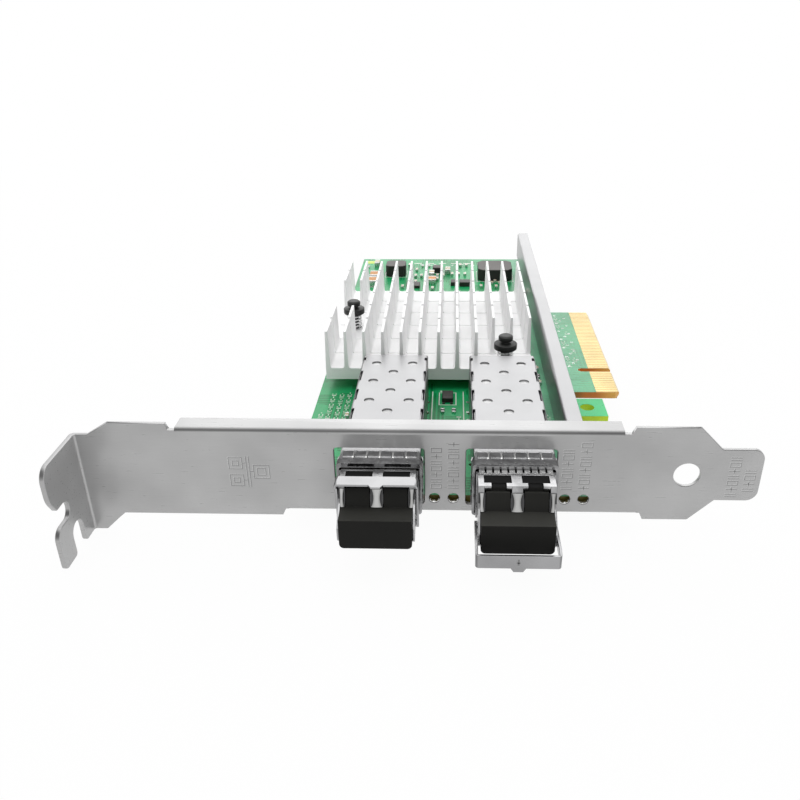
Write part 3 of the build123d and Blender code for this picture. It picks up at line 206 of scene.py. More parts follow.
@dataclass(frozen=True)
class Finish:
    """A surface: what it is made of, and what that gives the eye.

    A spread is the part of a pattern's or a direction's range over which the tone changes.
    """

    name: str
    colour: str
    roughness: float
    metallic: float = 0.0
    grain_mm: float = 0.3
    grain: Grain = Grain.NONE
    tone: float = 0.10
    rough_tone: float = 0.08
    least_rough: float = 0.03
    relief_mm: float = 0.01
    relief_share: float = 0.6
    cloud_mm: float = 9.0
    cloud: float = 0.10
    coat: float = 0.0
    coat_roughness: float = 0.08
    gloss: float = 0.5
    # Painted shade: the next two fields and their spread below darken the colour where the AO node finds surfaces
    # close by, in recesses and folds.
    recess_shade_mm: float = 0.0
    recess_shade: float = 0.0
    # Painted shade standing in for dark reflections: the next two fields darken flanks that face sideways and slopes
    # that face forward and up.
    side_painted_shade: float = 0.0
    bend_painted_shade: float = 0.0
    # The next field makes faces that point up lighter.
    upward_lighten: float = 0.0
    grain_spread: tuple = (0.3, 0.7)
    cloud_spread: tuple = (0.35, 0.65)
    recess_shade_spread: tuple = (0.25, 0.85)
    side_spread: tuple = (0.15, 0.9)
    bend_spread: tuple = (-0.48, -0.26)
    upward_lighten_spread: tuple = (0.2, 0.95)

    def make(self) -> bpy.types.Material:
        """Build the material: a fine grain in colour, roughness and relief, soft clouds of tone, and where set,
        painted shade in recesses and on faces by which way they point.

        Returns:
            The finished material.
        """
        material = bpy.data.materials.new(self.name)
        material.use_nodes = True
        tree = material.node_tree
        tree.nodes.clear()
        coords = add(tree, "TexCoord")
        mapped = add(tree, "Mapping", {"Vector": coords.outputs["Object"], "Scale": self.grain.value})
        grain = add(tree, "TexNoise", {
            "Vector": mapped, "Scale": 1000.0 / self.grain_mm, "Detail": 3.0, "Roughness": 0.6})
        clouds = add(tree, "TexNoise", {
            "Vector": coords.outputs["Object"], "Scale": 1000.0 / self.cloud_mm, "Detail": 2.0})
        tones = [(grain.outputs["Fac"], self.grain_spread, 1.0 - self.tone, 1.0 + self.tone),
                 (clouds.outputs["Fac"], self.cloud_spread, 1.0 - self.cloud, 1.0 + self.cloud)]
        # painted shade in recesses and folds, from the AO node
        if self.recess_shade:
            space = add(tree, "AmbientOcclusion", {"Distance": self.recess_shade_mm / 1000.0}, samples=8)
            tones.append((space.outputs["AO"], self.recess_shade_spread, 1.0 - self.recess_shade, 1.0))
        # painted shade by which way a face points, and lighter faces that point up
        if self.side_painted_shade or self.bend_painted_shade or self.upward_lighten:
            tones += self.facing_tones(tree, coords)
        colour = self.colours(tree, coords)
        for value, (low, high), least, most in tones:
            factor = add(tree, "MapRange", {
                "Value": value, "From Min": low, "From Max": high, "To Min": least, "To Max": most})
            colour = add(tree, "VectorMath", {0: colour, "Scale": factor}, operation="SCALE")
        rough = add(tree, "MapRange", {
            "Value": grain.outputs["Fac"], "From Min": self.grain_spread[0], "From Max": self.grain_spread[1],
            "To Min": max(self.least_rough, self.roughness - self.rough_tone),
            "To Max": self.roughness + self.rough_tone})
        bump = add(tree, "Bump", {
            "Height": grain.outputs["Fac"], "Distance": self.relief_mm / 1000.0, "Strength": self.relief_share})
        shader = add(tree, "BsdfPrincipled", {
            "Base Color": colour, "Metallic": self.metallic, "Roughness": rough,
            "Normal": bump, "Specular IOR Level": self.gloss, "Coat Weight": self.coat,
            "Coat Roughness": self.coat_roughness})
        add(tree, "OutputMaterial", {"Surface": shader})
        return material

    def facing_tones(self, tree: Tree, coords: Node) -> list[tuple]:
        """Give the tones that follow which way a face points: painted shade on the flanks and along the bends,
        standing in for dark reflections, and lighter faces that point up.

        Args:
            tree: The material's tree.
            coords: Its coordinates.

        Returns:
            For each, what it follows, its spread, and its factors at both ends.
        """
        facing = add(tree, "SeparateXYZ", {0: coords.outputs["Normal"]})
        across = add(tree, "Math", {0: facing}, operation="ABSOLUTE")
        slant = add(tree, "Math", {0: facing.outputs[1], 1: facing.outputs[2]}, operation="MULTIPLY")
        return [(across, self.side_spread, 1.0, 1.0 - self.side_painted_shade),
                (slant, self.bend_spread, 1.0 - self.bend_painted_shade, 1.0),
                (facing.outputs[2], self.upward_lighten_spread, 1.0, 1.0 + self.upward_lighten)]

    def colours(self, tree: Tree, coords: Node) -> Socket:
        """Give the colour that the grain works on.

        Args:
            tree: The material's tree.
            coords: Its coordinates.

        Returns:
            A colour output.
        """
        return add(tree, "CombineColor", dict(enumerate(linear(self.colour)[:3]))).outputs[0]


@dataclass(frozen=True)
class SolderMask(Finish):
    """Green lacquer over copper tracks on glass-cloth laminate; the cut edges glow yellow-green, orange at the tip.

    The steps and bands are places along the bracket in millimetres from its round hole.
    """

    track: str = "#20AA66"
    gap: str = "#058246"
    lug: str = "#35CC7C"
    lug_edge: str = "#D0EE3A"
    core: str = "#6E6430"
    bare: str = "#FBE0A6"
    # Painted sheen: a paler green laid over the board from pale_mm on, standing in for the lacquer's reflection.
    pale: str = "#86CFA8"
    edge: str = "#D87C38"
    tip: str = "#F2B65C"
    pale_mm: tuple = (-23.5, -20.5)
    pale_share: float = 0.6
    bare_mm: tuple = (-8.45, -8.35)
    glow_mm: tuple = (-14.2, -10.6)
    tip_mm: tuple = (-8.4, -4.6)
    lug_mm: float = -14.05
    connector_mm: float = 43.0
    pitch_mm: float = 0.9
    patch_mm: float = 6.0
    along_share: float = 0.5
    track_share: float = 0.62
    pour_share: float = 0.55

    def colours(self, tree: Tree, coords: Node) -> Socket:
        """Give bundles of tracks, running along or across in patches, a painted sheen that pales the green past
        pale_mm, and the cut edge's colour.
        """
        waves = [add(tree, "TexWave", {
            "Vector": coords.outputs["Object"], "Scale": 1000.0 / self.pitch_mm / math.tau * 2.0,
            "Distortion": 0.0}, bands_direction=axis).outputs["Fac"] for axis in "XY"]
        patches = add(tree, "TexVoronoi", {
            "Vector": coords.outputs["Object"], "Scale": 1000.0 / self.patch_mm}, distance="CHEBYCHEV")
        split = add(tree, "SeparateColor", {0: patches.outputs["Color"]})
        turned = add(tree, "Math", {0: split, 1: self.along_share}, operation="GREATER_THAN")
        bundle = add(tree, "Mix", {0: turned, 2: waves[0], 3: waves[1]}, data_type="FLOAT")
        lines = add(tree, "Math", {0: bundle, 1: self.track_share}, operation="GREATER_THAN")
        pour = add(tree, "Math", {0: split.outputs[1], 1: self.pour_share}, operation="GREATER_THAN")
        copper = add(tree, "Math", {0: lines, 1: pour}, operation="MAXIMUM")
        spot = add(tree, "SeparateXYZ", {0: coords.outputs["Object"]})
        paler, window, outer, near = [add(tree, "MapRange", {
            "Value": spot, "From Min": low / 1000.0, "From Max": high / 1000.0, "To Max": share})
            for (low, high), share in (
                (self.pale_mm, self.pale_share), (self.bare_mm, 1.0), (self.glow_mm, 1.0), (self.tip_mm, 1.0))]
        beyond = add(tree, "Math", {0: spot, 1: self.lug_mm / 1000.0}, operation="GREATER_THAN")
        behind = add(tree, "Math", {0: spot.outputs[1], 1: self.connector_mm / 1000.0},
                     operation="GREATER_THAN")
        bared = add(tree, "Math", {0: window, 1: behind}, operation="MULTIPLY")
        ahead = add(tree, "Math", {0: 1.0, 1: behind}, operation="SUBTRACT")
        on_lug = add(tree, "Math", {0: beyond, 1: ahead}, operation="MULTIPLY")
        stacks = []
        for colour, layers in (
                (self.gap, ((copper, self.track), (paler, self.pale), (bared, self.bare), (on_lug, self.lug))),
                (self.core, ((outer, self.edge), (near, self.tip), (on_lug, self.lug_edge)))):
            stack = linear(colour)
            for share, over in layers:
                stack = add(tree, "Mix", {0: share, 6: stack, 7: linear(over)}, data_type="RGBA").outputs[2]
            stacks.append(stack)
        up = add(tree, "SeparateXYZ", {0: coords.outputs["Normal"]})
        flat = add(tree, "Math", {0: up.outputs[2]}, operation="ABSOLUTE")
        face = add(tree, "Math", {0: flat, 1: 0.5}, operation="GREATER_THAN")
        return add(tree, "Mix", {0: face, 6: stacks[1], 7: stacks[0]}, data_type="RGBA").outputs[2]


# Grains finer than the picture shows, such as rolled sheet's, are drawn 0.3 to 0.5 mm wide so that they still show.
FINISHES: dict[str, Finish] = {
    # cold-rolled and nickel-plated: grey with faint lines along the strip, with painted shade along the folds
    "bracket_steel": Finish("nickel_plated_rolled_steel", "#B8B8B8", 0.30, 0.5, grain=Grain.ALONG_X, tone=0.02,
                            rough_tone=0.03, relief_mm=0.0005, cloud_mm=14.0, cloud=0.08, bend_painted_shade=0.75),
    # turned and zinc-plated: bright and cool
    "screw_steel": Finish("zinc_plated_screw_steel", "#B9B9BC", 0.25, 1.0),
    # lacquered over etched copper: lighter green on the tracks than between them, and paler along part of the board
    # as painted sheen
    "board_laminate": SolderMask("solder_mask_on_laminate", "#3FA070", 0.34, 0.0, grain_mm=0.35,
                                 tone=0.05, relief_mm=0.01, coat=0.03, gloss=0.28),
    # hard gold over nickel: pale warm shine with hardly any grain
    "contact_gold": Finish("hard_gold_plate", "#CCB57E", 0.24, 1.0, tone=0.04, relief_mm=0.003),
    # bright plate on rolled sheet: even and light, with lines along the rail
    "rail_steel": Finish("bright_plated_steel", "#AAAAAB", 0.36, 0.75, grain_mm=0.5, grain=Grain.ALONG_Y,
                         tone=0.03, rough_tone=0.03, relief_mm=0.001, cloud=0.03),
    # blasted and clear anodised: nearly white and matt, with a soft sheen
    "sink_aluminium": Finish("blasted_anodised_aluminium", "#F7F7F7", 0.58, 0.3, grain_mm=0.2, tone=0.03,
                             relief_mm=0.006, cloud=0.03),
    # cast silicone sheet: dull grey-blue
    "pad_soft": Finish("silicone_gap_pad", "#8C92A0", 0.8, grain_mm=0.2),
    # transfer-moulded epoxy: fine matt grain, greyer on the faces that point up
    "package_black": Finish("moulded_epoxy_package", "#272523", 0.5, grain_mm=0.12, relief_mm=0.006, gloss=0.4,
                            upward_lighten=1.6),
    # moulded nylon: smooth black with a broad soft highlight
    "pin_plastic": Finish("moulded_nylon", "#1B1C1B", 0.42, relief_mm=0.004, gloss=0.35),
    # drawn wire: light coils
    "spring_steel": Finish("drawn_spring_wire", "#DADADA", 0.3, 0.7),
    # tinned and folded sheet: pale satin tops, with painted shade on the flanks
    "cage_steel": Finish("tin_plated_sheet", "#A3A3A4", 0.34, 1.0, grain_mm=0.35, grain=Grain.ALONG_Y,
                         tone=0.02, rough_tone=0.03, relief_mm=0.001, cloud=0.03, side_painted_shade=0.4),
    # plain matt white on the cover under the cage's holes: painted light, standing in for the lit cover that the
    # holes show
    "cover_label": Finish("painted_light_on_cover", "#F8F8F8", 0.6, 0.0, tone=0.03, relief_mm=0.003),
    # pressed spring sheet: mottled mirror, with painted shade in the folds and recesses and on the flanks
    "collar_steel": Finish("bright_spring_sheet", "#909091", 0.15, 1.0, grain_mm=0.5, tone=0.12, relief_mm=0.02,
                           cloud_mm=2.2, cloud=0.25, recess_shade_mm=0.7, recess_shade=0.75, side_painted_shade=0.6, bend_painted_shade=0.55),
    # die-cast and plated: uneven mirror, with painted shade in the recesses, on the flanks and along the bends
    "module_zinc": Finish("nickel_plated_zinc_casting", "#A6A6A7", 0.16, 1.0, grain_mm=0.35, tone=0.08,
                          relief_mm=0.012, cloud_mm=2.2, cloud=0.2, recess_shade_mm=0.8, recess_shade=0.8, side_painted_shade=0.6,
                          bend_painted_shade=0.3),
    # buffed after casting: sharp bright faces, with painted shade on the sides and in the recesses
    "polished_zinc": Finish("buffed_zinc_face", "#B4B4B3", 0.12, 1.0, tone=0.03, relief_mm=0.002,
                            recess_shade_mm=0.5, recess_shade=0.6, side_painted_shade=0.85),
    # bright-dipped contact strip: the lightest metal on the card, also laid as the painted highlights between the
    # collar's fingers and in the lamp holes
    "finger_bright": Finish("bright_contact_fingers", "#E6E6E5", 0.2, 1.0, tone=0.03),
    # near-black on the plug's ribs under the head's slots: painted shade inside the slots
    "bore_dark": Finish("painted_slot_shade", "#0D0D0D", 0.7, grain_mm=0.2, gloss=0.1),
    # dark strips behind the pillars: painted shade that outlines them
    "zinc_shade": Finish("painted_shade_behind_pillars", "#4A4A4B", 0.4, 0.8, grain_mm=0.2, relief_mm=0.004),
    # the transceiver's own board, as the large one but glossier
    "module_board": SolderMask("module_solder_mask", "#2C7F55", 0.3, coat=0.3),
    # turned stainless: even grey
    "optic_steel": Finish("turned_stainless", "#A8A8A8", 0.28, 1.0, grain_mm=0.2),
    # soft moulding: matt black, lighter grey on the faces that point up, with painted shade blackest in the bores
    "plug_rubber": Finish("moulded_soft_rubber", "#1B1B19", 0.62, grain_mm=0.2, relief_mm=0.006, tone=0.08,
                          gloss=0.16, upward_lighten=2.3, recess_shade_mm=2.5, recess_shade=0.95),
    # stamped and tumbled: clean bright sheet, with painted shade on the flanks, in the folds and in recesses
    "bail_steel": Finish("polished_stamped_steel", "#A0A0A1", 0.18, 1.0, grain_mm=0.4, tone=0.03,
                         relief_mm=0.001, recess_shade_mm=0.5, recess_shade=0.4, side_painted_shade=0.6, bend_painted_shade=0.3),
    # pressed powder: speckled near-black, grey on the faces that point up
    "inductor_grey": Finish("pressed_iron_powder", "#1E1D1C", 0.6, 0.1, grain_mm=0.15, tone=0.18,
                            relief_mm=0.01, upward_lighten=9.0),
    # moulded case: warm ochre
    "tantalum_tan": Finish("moulded_tantalum_case", "#D08A35", 0.45, grain_mm=0.15),
    # sintered ceramic: sandy and smooth
    "ceramic_tan": Finish("sintered_ceramic_body", "#C9B791", 0.4, grain_mm=0.12),
    # glazed film: small glossy black tops
    "resistor_black": Finish("glazed_resistor_film", "#26272A", 0.3, grain_mm=0.2),
    # welded nickel lid: soft mirror
    "crystal_can": Finish("welded_nickel_lid", "#C4C4BE", 0.25, 1.0, grain_mm=0.25),
    # clear cast resin: pale yellow-green under a gloss
    "lamp_clear": Finish("clear_lamp_resin", "#D9E2A8", 0.15, coat=0.5),
    # screened ink: flat off-white
    "ink_white": Finish("screened_white_ink", "#E4ECE0", 0.6, grain_mm=0.12, tone=0.05),
    # reflowed solder: small bright domes and rings
    "solder_tin": Finish("reflowed_solder", "#D2D2D0", 0.25, 0.8, relief_mm=0.006),
    # the two sides of a stamped line, painted highlight and painted shade, which make it read as pressed in
    "mark_dark": Finish("shaded_side_of_stamping", "#8E8E8E", 0.42, 0.5, grain_mm=0.15),
    "mark_light": Finish("bright_side_of_stamping", "#D6D6D6", 0.3, 0.5, grain_mm=0.15),
    # thin lacquer over a ground pad: acid yellow-green
    "pad_yellow": Finish("bare_ground_pad", "#C9E04A", 0.4),
}


class Palette:
    """Makes each finish once and hands it out by its slot name."""

    def __init__(self) -> None:
        """Start with nothing made."""
        self.made: dict[str, bpy.types.Material] = {}

    def get(self, slot: str) -> bpy.types.Material:
        """Return the material of a slot.

        Args:
            slot: The finish's key.

        Returns:
            The material, made on first use.
        """
        if slot not in self.made:
            self.made[slot] = FINISHES[slot].make()
        return self.made[slot]


@dataclass
class Card:
    """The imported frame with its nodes, and what every sub-assembly needs to add pieces to it."""

    frame: dict
    palette: Palette = field(default_factory=Palette)
    body_of: dict[str, str] = field(default_factory=dict)
    slot_of: dict[str, str] = field(default_factory=dict)
    join_m: float = 2e-6
    sliver_m: float = 1e-6
    flat_deg: float = 0.8
    sharp_deg: float = 45.0
    face_weight: int = 80

    def __post_init__(self) -> None:
        """Read which body and which slot every node has."""
        record = self.frame["record"]
        for body, nodes in record["behaviour"]["bodies"].items():
            for node in nodes:
                self.body_of[node] = body
        for part in record["subparts"]:
            self.slot_of[part["node"]] = part["material_slot"]

    def keep(self, node: str) -> None:
        """Leave a node's own mesh in view, with its finish."""
        target = self.frame["nodes"][node]
        target.data.materials.clear()
        target.data.materials.append(self.palette.get(self.slot_of[node]))

    def merged(self, node: str) -> Mesh:
        """Copy a node's mesh, joined up into whole faces.

        Args:
            node: The node's name.

        Returns:
            The copy, in the card's frame.
        """
        copy = bmesh.new()
        copy.from_mesh(self.frame["nodes"][node].data)
        bmesh.ops.remove_doubles(copy, verts=copy.verts, dist=self.join_m)
        bmesh.ops.dissolve_degenerate(copy, dist=self.sliver_m, edges=copy.edges)
        bmesh.ops.dissolve_limit(copy, angle_limit=math.radians(self.flat_deg), verts=copy.verts, edges=copy.edges,
                                 use_dissolve_boundaries=False, delimit=set())
        return copy

    def soften(self, node: str, width_mm: float, segments: int = 2, smooth: float = 35.0,
               shape: Mesh | None = None, material: str | None = None) -> bpy.types.Object:
        """Stand a copy of a node in its place, with its sharp edges broken as the real piece has them.

        Args:
            node: The node's name.
            width_mm: How wide the broken edge is, in millimetres.
            segments: How many steps the edge has.
            smooth: The angle in degrees above which an edge counts as sharp.
            shape: The node's mesh, where it has been worked already.
            material: Another finish, where the slot's own is not the one.

        Returns:
            The piece that replaces the node.
        """
        shape = shape or self.merged(node)
        if width_mm:
            shape = EdgeBreaker(shape, width_mm / 1000.0, segments, math.radians(smooth)).work()
        piece = self.piece(node + "_worked", shape, self.slot_of[node], self.body_of[node], self.sharp_deg, material)
        evened = piece.modifiers.new("even_faces", "WEIGHTED_NORMAL")
        evened.keep_sharp = True
        evened.weight = self.face_weight
        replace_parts(piece, node)
        return piece

    def piece(self, name: str, shape: Mesh, slot: str, body: str = "root",
              smooth: float = 30.0, material: str | None = None) -> bpy.types.Object:
        """Turn a shape into a piece of the card that rides on a body.

        Args:
            name: The piece's name.
            shape: Its mesh, in metres in the card's frame; it is used up.
            slot: The record's slot that it takes its finish from.
            body: The body that it rides on.
            smooth: The angle in degrees below which its faces shade smoothly.
            material: Another finish, where the slot's own is not the one.

        Returns:
            The new object.
        """
        mesh = bpy.data.meshes.new(name)
        shape.to_mesh(mesh)
        shape.free()
        mesh.shade_smooth()
        mesh.set_sharp_from_angle(angle=math.radians(smooth))
        mesh.materials.append(self.palette.get(material or slot))
        made = bpy.data.objects.new(name, mesh)
        bpy.context.scene.collection.objects.link(made)
        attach(made, body)
        log.info("piece %s on %s: %d faces", name, body, len(mesh.polygons))
        return made

    def islands(self, node: str) -> list[tuple[Vector, Vector]]:
        """Find the separate solids of a node.

        Args:
            node: The node's name.

        Returns:
            The lowest and highest corner of each, in metres.
        """
        copy = self.merged(node)
        left = set(copy.verts)
        found = []
        while left:
            ring = [left.pop()]
            group = list(ring)
            while ring:
                vertex = ring.pop()
                for edge in vertex.link_edges:
                    other = edge.other_vert(vertex)
                    if other in left:
                        left.discard(other)
                        ring.append(other)
                        group.append(other)
            low = Vector([min(v.co[i] for v in group) for i in range(3)])
            high = Vector([max(v.co[i] for v in group) for i in range(3)])
            found.append((low, high))
        copy.free()
        return sorted(found, key=lambda pair: tuple(round(c, 6) for c in pair[0]))


@dataclass
class EdgeBreaker:
    """Breaks a shape's sharp edges, and leaves alone the few where there is no room for it."""

    whole: Mesh
    width: float
    segments: int
    sharp: float
    tries: int = 7
    reach: float = 3.0
    stray: float = 0.75
    turned: float = 1e-12
    most: int = 400

    def work(self) -> Mesh:
        """Break the edges.

        Returns:
            The worked copy, or the shape as it was where no try came out sound.
        """
        surface = BVHTree.FromBMesh(self.whole)
        self.whole.edges.index_update()
        kept: set[int] = set()
        for _ in range(self.tries):
            copy = self.whole.copy()
            chosen = [edge for edge in copy.edges if edge.index not in kept and edge.is_manifold
                      and edge.calc_face_angle(0.0) > self.sharp]
            bevel(copy, chosen, self.width, self.segments, clamp=False)
            spots = self.faults(copy, surface)
            if not spots:
                self.whole.free()
                return copy
            copy.free()
            fresh = {edge.index for edge in self.whole.edges if edge.index not in kept and any(
                self.gap(edge, spot) < self.reach * self.width for spot in spots)}
            if not fresh:
                self.reach *= 2.0
            kept |= fresh
        log.info("edges left sharp")
        return self.whole

    def gap(self, edge: bmesh.types.BMEdge, spot: Vector) -> float:
        """Measure how far a point is from an edge.

        Args:
            edge: The edge.
            spot: The point.

        Returns:
            The distance in metres.
        """
        first, second = (vertex.co for vertex in edge.verts)
        foot, share = intersect_point_line(spot, first, second)
        foot = first.lerp(second, min(1.0, max(0.0, share)))
        return (spot - foot).length

    def faults(self, copy: Mesh, surface: BVHTree) -> list[Vector]:
        """Find where a worked copy leaves the shape's surface or turns a face over.

        Args:
            copy: The worked copy.
            surface: The surface before the work.

        Returns:
            Points beside each fault.
        """
        spots = []
        for vertex in copy.verts:
            foot, _, _, away = surface.find_nearest(vertex.co)
            if away is not None and away > self.width * self.stray:
                spots += [foot] + [edge.other_vert(vertex).co.copy() for edge in vertex.link_edges]
        copy.normal_update()
        for loops in copy.calc_loop_triangles():
            a, b, c = (loop.vert.co for loop in loops)
            across = (b - a).cross(c - a)
            if across.length > self.turned and across.dot(loops[0].face.normal) < -self.turned:
                spots += [a.copy(), b.copy(), c.copy()]
        return spots[:self.most]


class Blank:
    """A piece in the making: one mesh that bars, discs and turned shapes are added to."""

    def __init__(self) -> None:
        """Start with an empty mesh."""
        self.mesh = bmesh.new()

    def bar(self, low: Vector, high: Vector, bevel_mm: float = 0.0) -> Blank:
        """Add a rectangular bar between two corners.

        Args:
            low: Its lowest corner, in metres.
            high: Its highest corner, in metres.
            bevel_mm: How wide its broken edges are.

        Returns:
            The blank, for more shapes.
        """
        verts = bmesh.ops.create_cube(self.mesh, size=1.0)["verts"]
        bmesh.ops.scale(self.mesh, vec=high - low, verts=verts)
        bmesh.ops.translate(self.mesh, vec=(low + high) / 2, verts=verts)
        if bevel_mm:
            bevel(self.mesh, list({edge for vertex in verts for edge in vertex.link_edges}), bevel_mm / 1000.0, 2)
        return self

    def take(self, part: Mesh) -> None:
        """Add another mesh to this one and use it up."""
        carrier = bpy.data.meshes.new("carrier")
        part.to_mesh(carrier)
        part.free()
        self.mesh.from_mesh(carrier)
        bpy.data.meshes.remove(carrier)

    def disc(self, centre: Vector, radius_mm: float, height_mm: float, steps: int) -> None:
        """Add a flat disc standing on a point, with its axis up and its rim a little drawn in."""
        made = bmesh.ops.create_cone(self.mesh, cap_ends=True, segments=steps, radius1=radius_mm / 1000.0,
                                     radius2=radius_mm * 0.9 / 1000.0, depth=height_mm / 1000.0)
        bmesh.ops.translate(self.mesh, vec=centre + Vector((0, 0, height_mm / 2000.0)), verts=made["verts"])

    def ring(self, centre: Vector, outer_mm: float, inner_mm: float, height_mm: float, steps: int) -> None:
        """Add a flat ring standing on a point, turned from its section.

        Args:
            centre: The point, in metres.
            outer_mm: Its outer radius.
            inner_mm: Its inner radius.
            height_mm: How high it is.
            steps: How many steps go round.
        """
        section = [(inner_mm, 0), (outer_mm, 0), (outer_mm, height_mm), (inner_mm, height_mm), (inner_mm, 0)]
        verts = [self.mesh.verts.new(centre + Vector((r, 0, h)) / 1000.0) for r, h in section]
        edges = [self.mesh.edges.new(pair) for pair in zip(verts, verts[1:])]
        bmesh.ops.spin(self.mesh, geom=verts + edges, cent=centre, axis=(0, 0, 1), dvec=(0, 0, 0),
                       angle=math.tau, steps=steps, use_merge=True, use_duplicate=False)
        bmesh.ops.remove_doubles(self.mesh, verts=self.mesh.verts, dist=1e-7)

    def done(self) -> Mesh:
        """Point the faces outwards and hand the mesh over."""
        bmesh.ops.recalc_face_normals(self.mesh, faces=self.mesh.faces)
        return self.mesh


@dataclass
class SlotBracket:
    """The folded bracket with its screws, its stamped port sign and the rows of marks beside the ports.

    Here and in the classes below, places are millimetres along the bracket from its tab, back from its outer face
    and up from its lower edge.
    """

    edge: float = 0.16
    # the light copy is shifted up and left, the dark copy stays in place: painted highlight and painted shade
    flanks: tuple = (("light", 0.09, 0.007), ("dark", 0.0, 0.011))
    shift: float = 0.0
    proud: float = 0.01
    mark_depth: float = 0.01
    mark_line: float = 0.13
    mark_rows: tuple = (65.45, 88.25)
    mark_columns: tuple = ((-1.5, 7), (1.5, 8))
    mark_low: float = 5.9
    mark_step: float = 1.22
    mark_gap: float = 0.28
    mark_width: float = 1.9
    bar_feet: tuple = (0.1, 0.65)
    cross_foot: float = 0.4
    tongue_marks: tuple = ((115.3, 4.8, 7), (118.1, 5.9, 4))
    sign_boxes: tuple = ((27.4, 9.5, 29.9, 11.9), (27.4, 6.0, 29.9, 8.4), (31.7, 7.6, 34.6, 10.4))
    sign_inset: float = 0.65
    sign_rails: tuple = (30.5, 31.0, 5.8, 12.1)
    sign_links: tuple = ((29.9, 30.5, 7.2), (29.9, 30.5, 10.7), (31.15, 31.7, 9.0))
    lamp_holes: tuple = (63.6, 66.95, 86.6, 89.9)
    lamp_height: float = 3.95
    rim_radius: float = 0.9
    rim_steps: int = 10
    rim_arc: tuple = (1.2, 0.6)
    rim_bar: tuple = ((-0.09, 0.08, -0.06), (0.09, 0.8, 0.05))
    corner_steps: int = 6
    corner_reach: float = 2e-5
    tab_corners: tuple = ((-12.55, 4.1, 2.2), (-7.8, -3.65, 0.8), (-3.8, -3.65, 0.8), (-10.95, 7.5, 0.35),
                          (-12.55, 10.06, 1.0))

    def build(self, card: Card) -> None:
        """Dress the bracket and add its marks, each as a painted-highlight copy and a painted-shade copy."""
        card.soften("bracket", self.edge, 3, shape=self.rounded(card.merged("bracket")))
        card.soften("bracket_screws", 0.12)
        for flank, shift, proud in self.flanks:
            self.shift, self.proud = shift, proud
            card.piece("bracket_sign_" + flank, self.sign(), "bracket_steel", material="mark_" + flank)
            card.piece("lamp_marks_" + flank, self.marks(), "bracket_steel", material="mark_" + flank)
        # painted highlight on the lamp holes' lower walls
        card.piece("lamp_hole_rims", self.rims(), "bracket_steel", material="finger_bright")

    def rounded(self, shape: Mesh) -> Mesh:
        """Round the corners of the bent tab's hook, as the stamping leaves them.

        Args:
            shape: The bracket's mesh.

        Returns:
            The same mesh.
        """
        for y, z, radius in self.tab_corners:
            corner = place(0.0, y, z)
            edges = [edge for edge in shape.edges if all(
                (v.co.yz - corner.yz).length < self.corner_reach for v in edge.verts)]
            bevel(shape, edges, radius / 1000.0, self.corner_steps, clamp=False)
        return shape

    def strip(self, blank: Blank, x0: float, z0: float, x1: float, z1: float) -> None:
        """Lay one stamped line on the bracket's outer face, as its painted-highlight copy or its painted-shade copy.
        """
        blank.bar(place(x0 - self.shift, -self.proud, z0 + self.shift),
                  place(x1 - self.shift, self.mark_depth, z1 + self.shift))

    def rims(self) -> Mesh:
        """Make bright strips on the lower walls of the four lamp holes, painted highlight where the walls catch the
        light.
        """
        blank = Blank()
        low, high = (Vector(corner) / 1000.0 for corner in self.rim_bar)
        for middle in self.lamp_holes:
            for i in range(self.rim_steps):
                turn = math.pi * (self.rim_arc[0] + self.rim_arc[1] * (i + 0.5) / self.rim_steps)
                foot = place(middle + self.rim_radius * math.cos(turn), 0.0,
                             self.lamp_height + self.rim_radius * math.sin(turn))
                part = Blank().bar(low, high).mesh
                bmesh.ops.transform(part, verts=part.verts, matrix=Matrix.Translation(foot) @ Matrix.Rotation(
                    -turn - math.pi / 2, 4, "Y"))
                blank.take(part)
        return blank.done()

    def sign(self) -> Mesh:
        """Make the plain sign of linked boxes, lying on its side.

        Returns:
            The sign's mesh.
        """
        blank, line, inset = Blank(), self.mark_line, self.sign_inset
        for x0, z0, x1, z1 in self.sign_boxes:
            for box in ((x0, z0, x1, z1), (x0 + inset, z0 + inset, x1 - inset, z1 - inset)):
                for strip in strips(*box, line):
                    self.strip(blank, *strip)
        left, right, low, high = self.sign_rails
        for x in (left, right):
            self.strip(blank, x, low, x + line, high)
        for x0, x1, z in self.sign_links:
            self.strip(blank, x0, z, x1, z + line)
        return blank.done()

    def glyph(self, blank: Blank, middle: float, low: float, kind: int) -> None:
        """Raise one plain mark: a box, a pair of bars or a crossed bar.

        Args:
            blank: The piece that it goes into.
            middle: Where its middle is along the bracket.
            low: Its lower edge.
            kind: Which of the shapes it has.
        """
        line, half, tall = self.mark_line, self.mark_width / 2, self.mark_step - self.mark_gap
        left, right, top = middle - half, middle + half, low + tall
        feet = self.bar_feet if kind % 3 == 1 else (self.cross_foot,)
        if kind % 3 == 0:
            for strip in strips(left, low, right, top, line):
                self.strip(blank, *strip)
            return
        for share in feet:
            self.strip(blank, left, low + share * tall, right, low + share * tall + line)
        if kind % 3 == 2:
            self.strip(blank, middle - line / 2, low, middle + line / 2, top)

    def marks(self) -> Mesh:
        """Make the rows of plain marks over each pair of lamp holes and at the tongue's end.

        Returns:
            The marks' mesh.
        """
        blank = Blank()
        for row, middle in enumerate(self.mark_rows):
            for turn, (column, count) in enumerate(self.mark_columns):
                for i in range(count):
                    self.glyph(blank, middle + column, self.mark_low + i * self.mark_step, i + row + turn)
        for middle, low, count in self.tongue_marks:
            for i in range(count):
                self.glyph(blank, middle, low + i * self.mark_step, i + count)
        return blank.done()


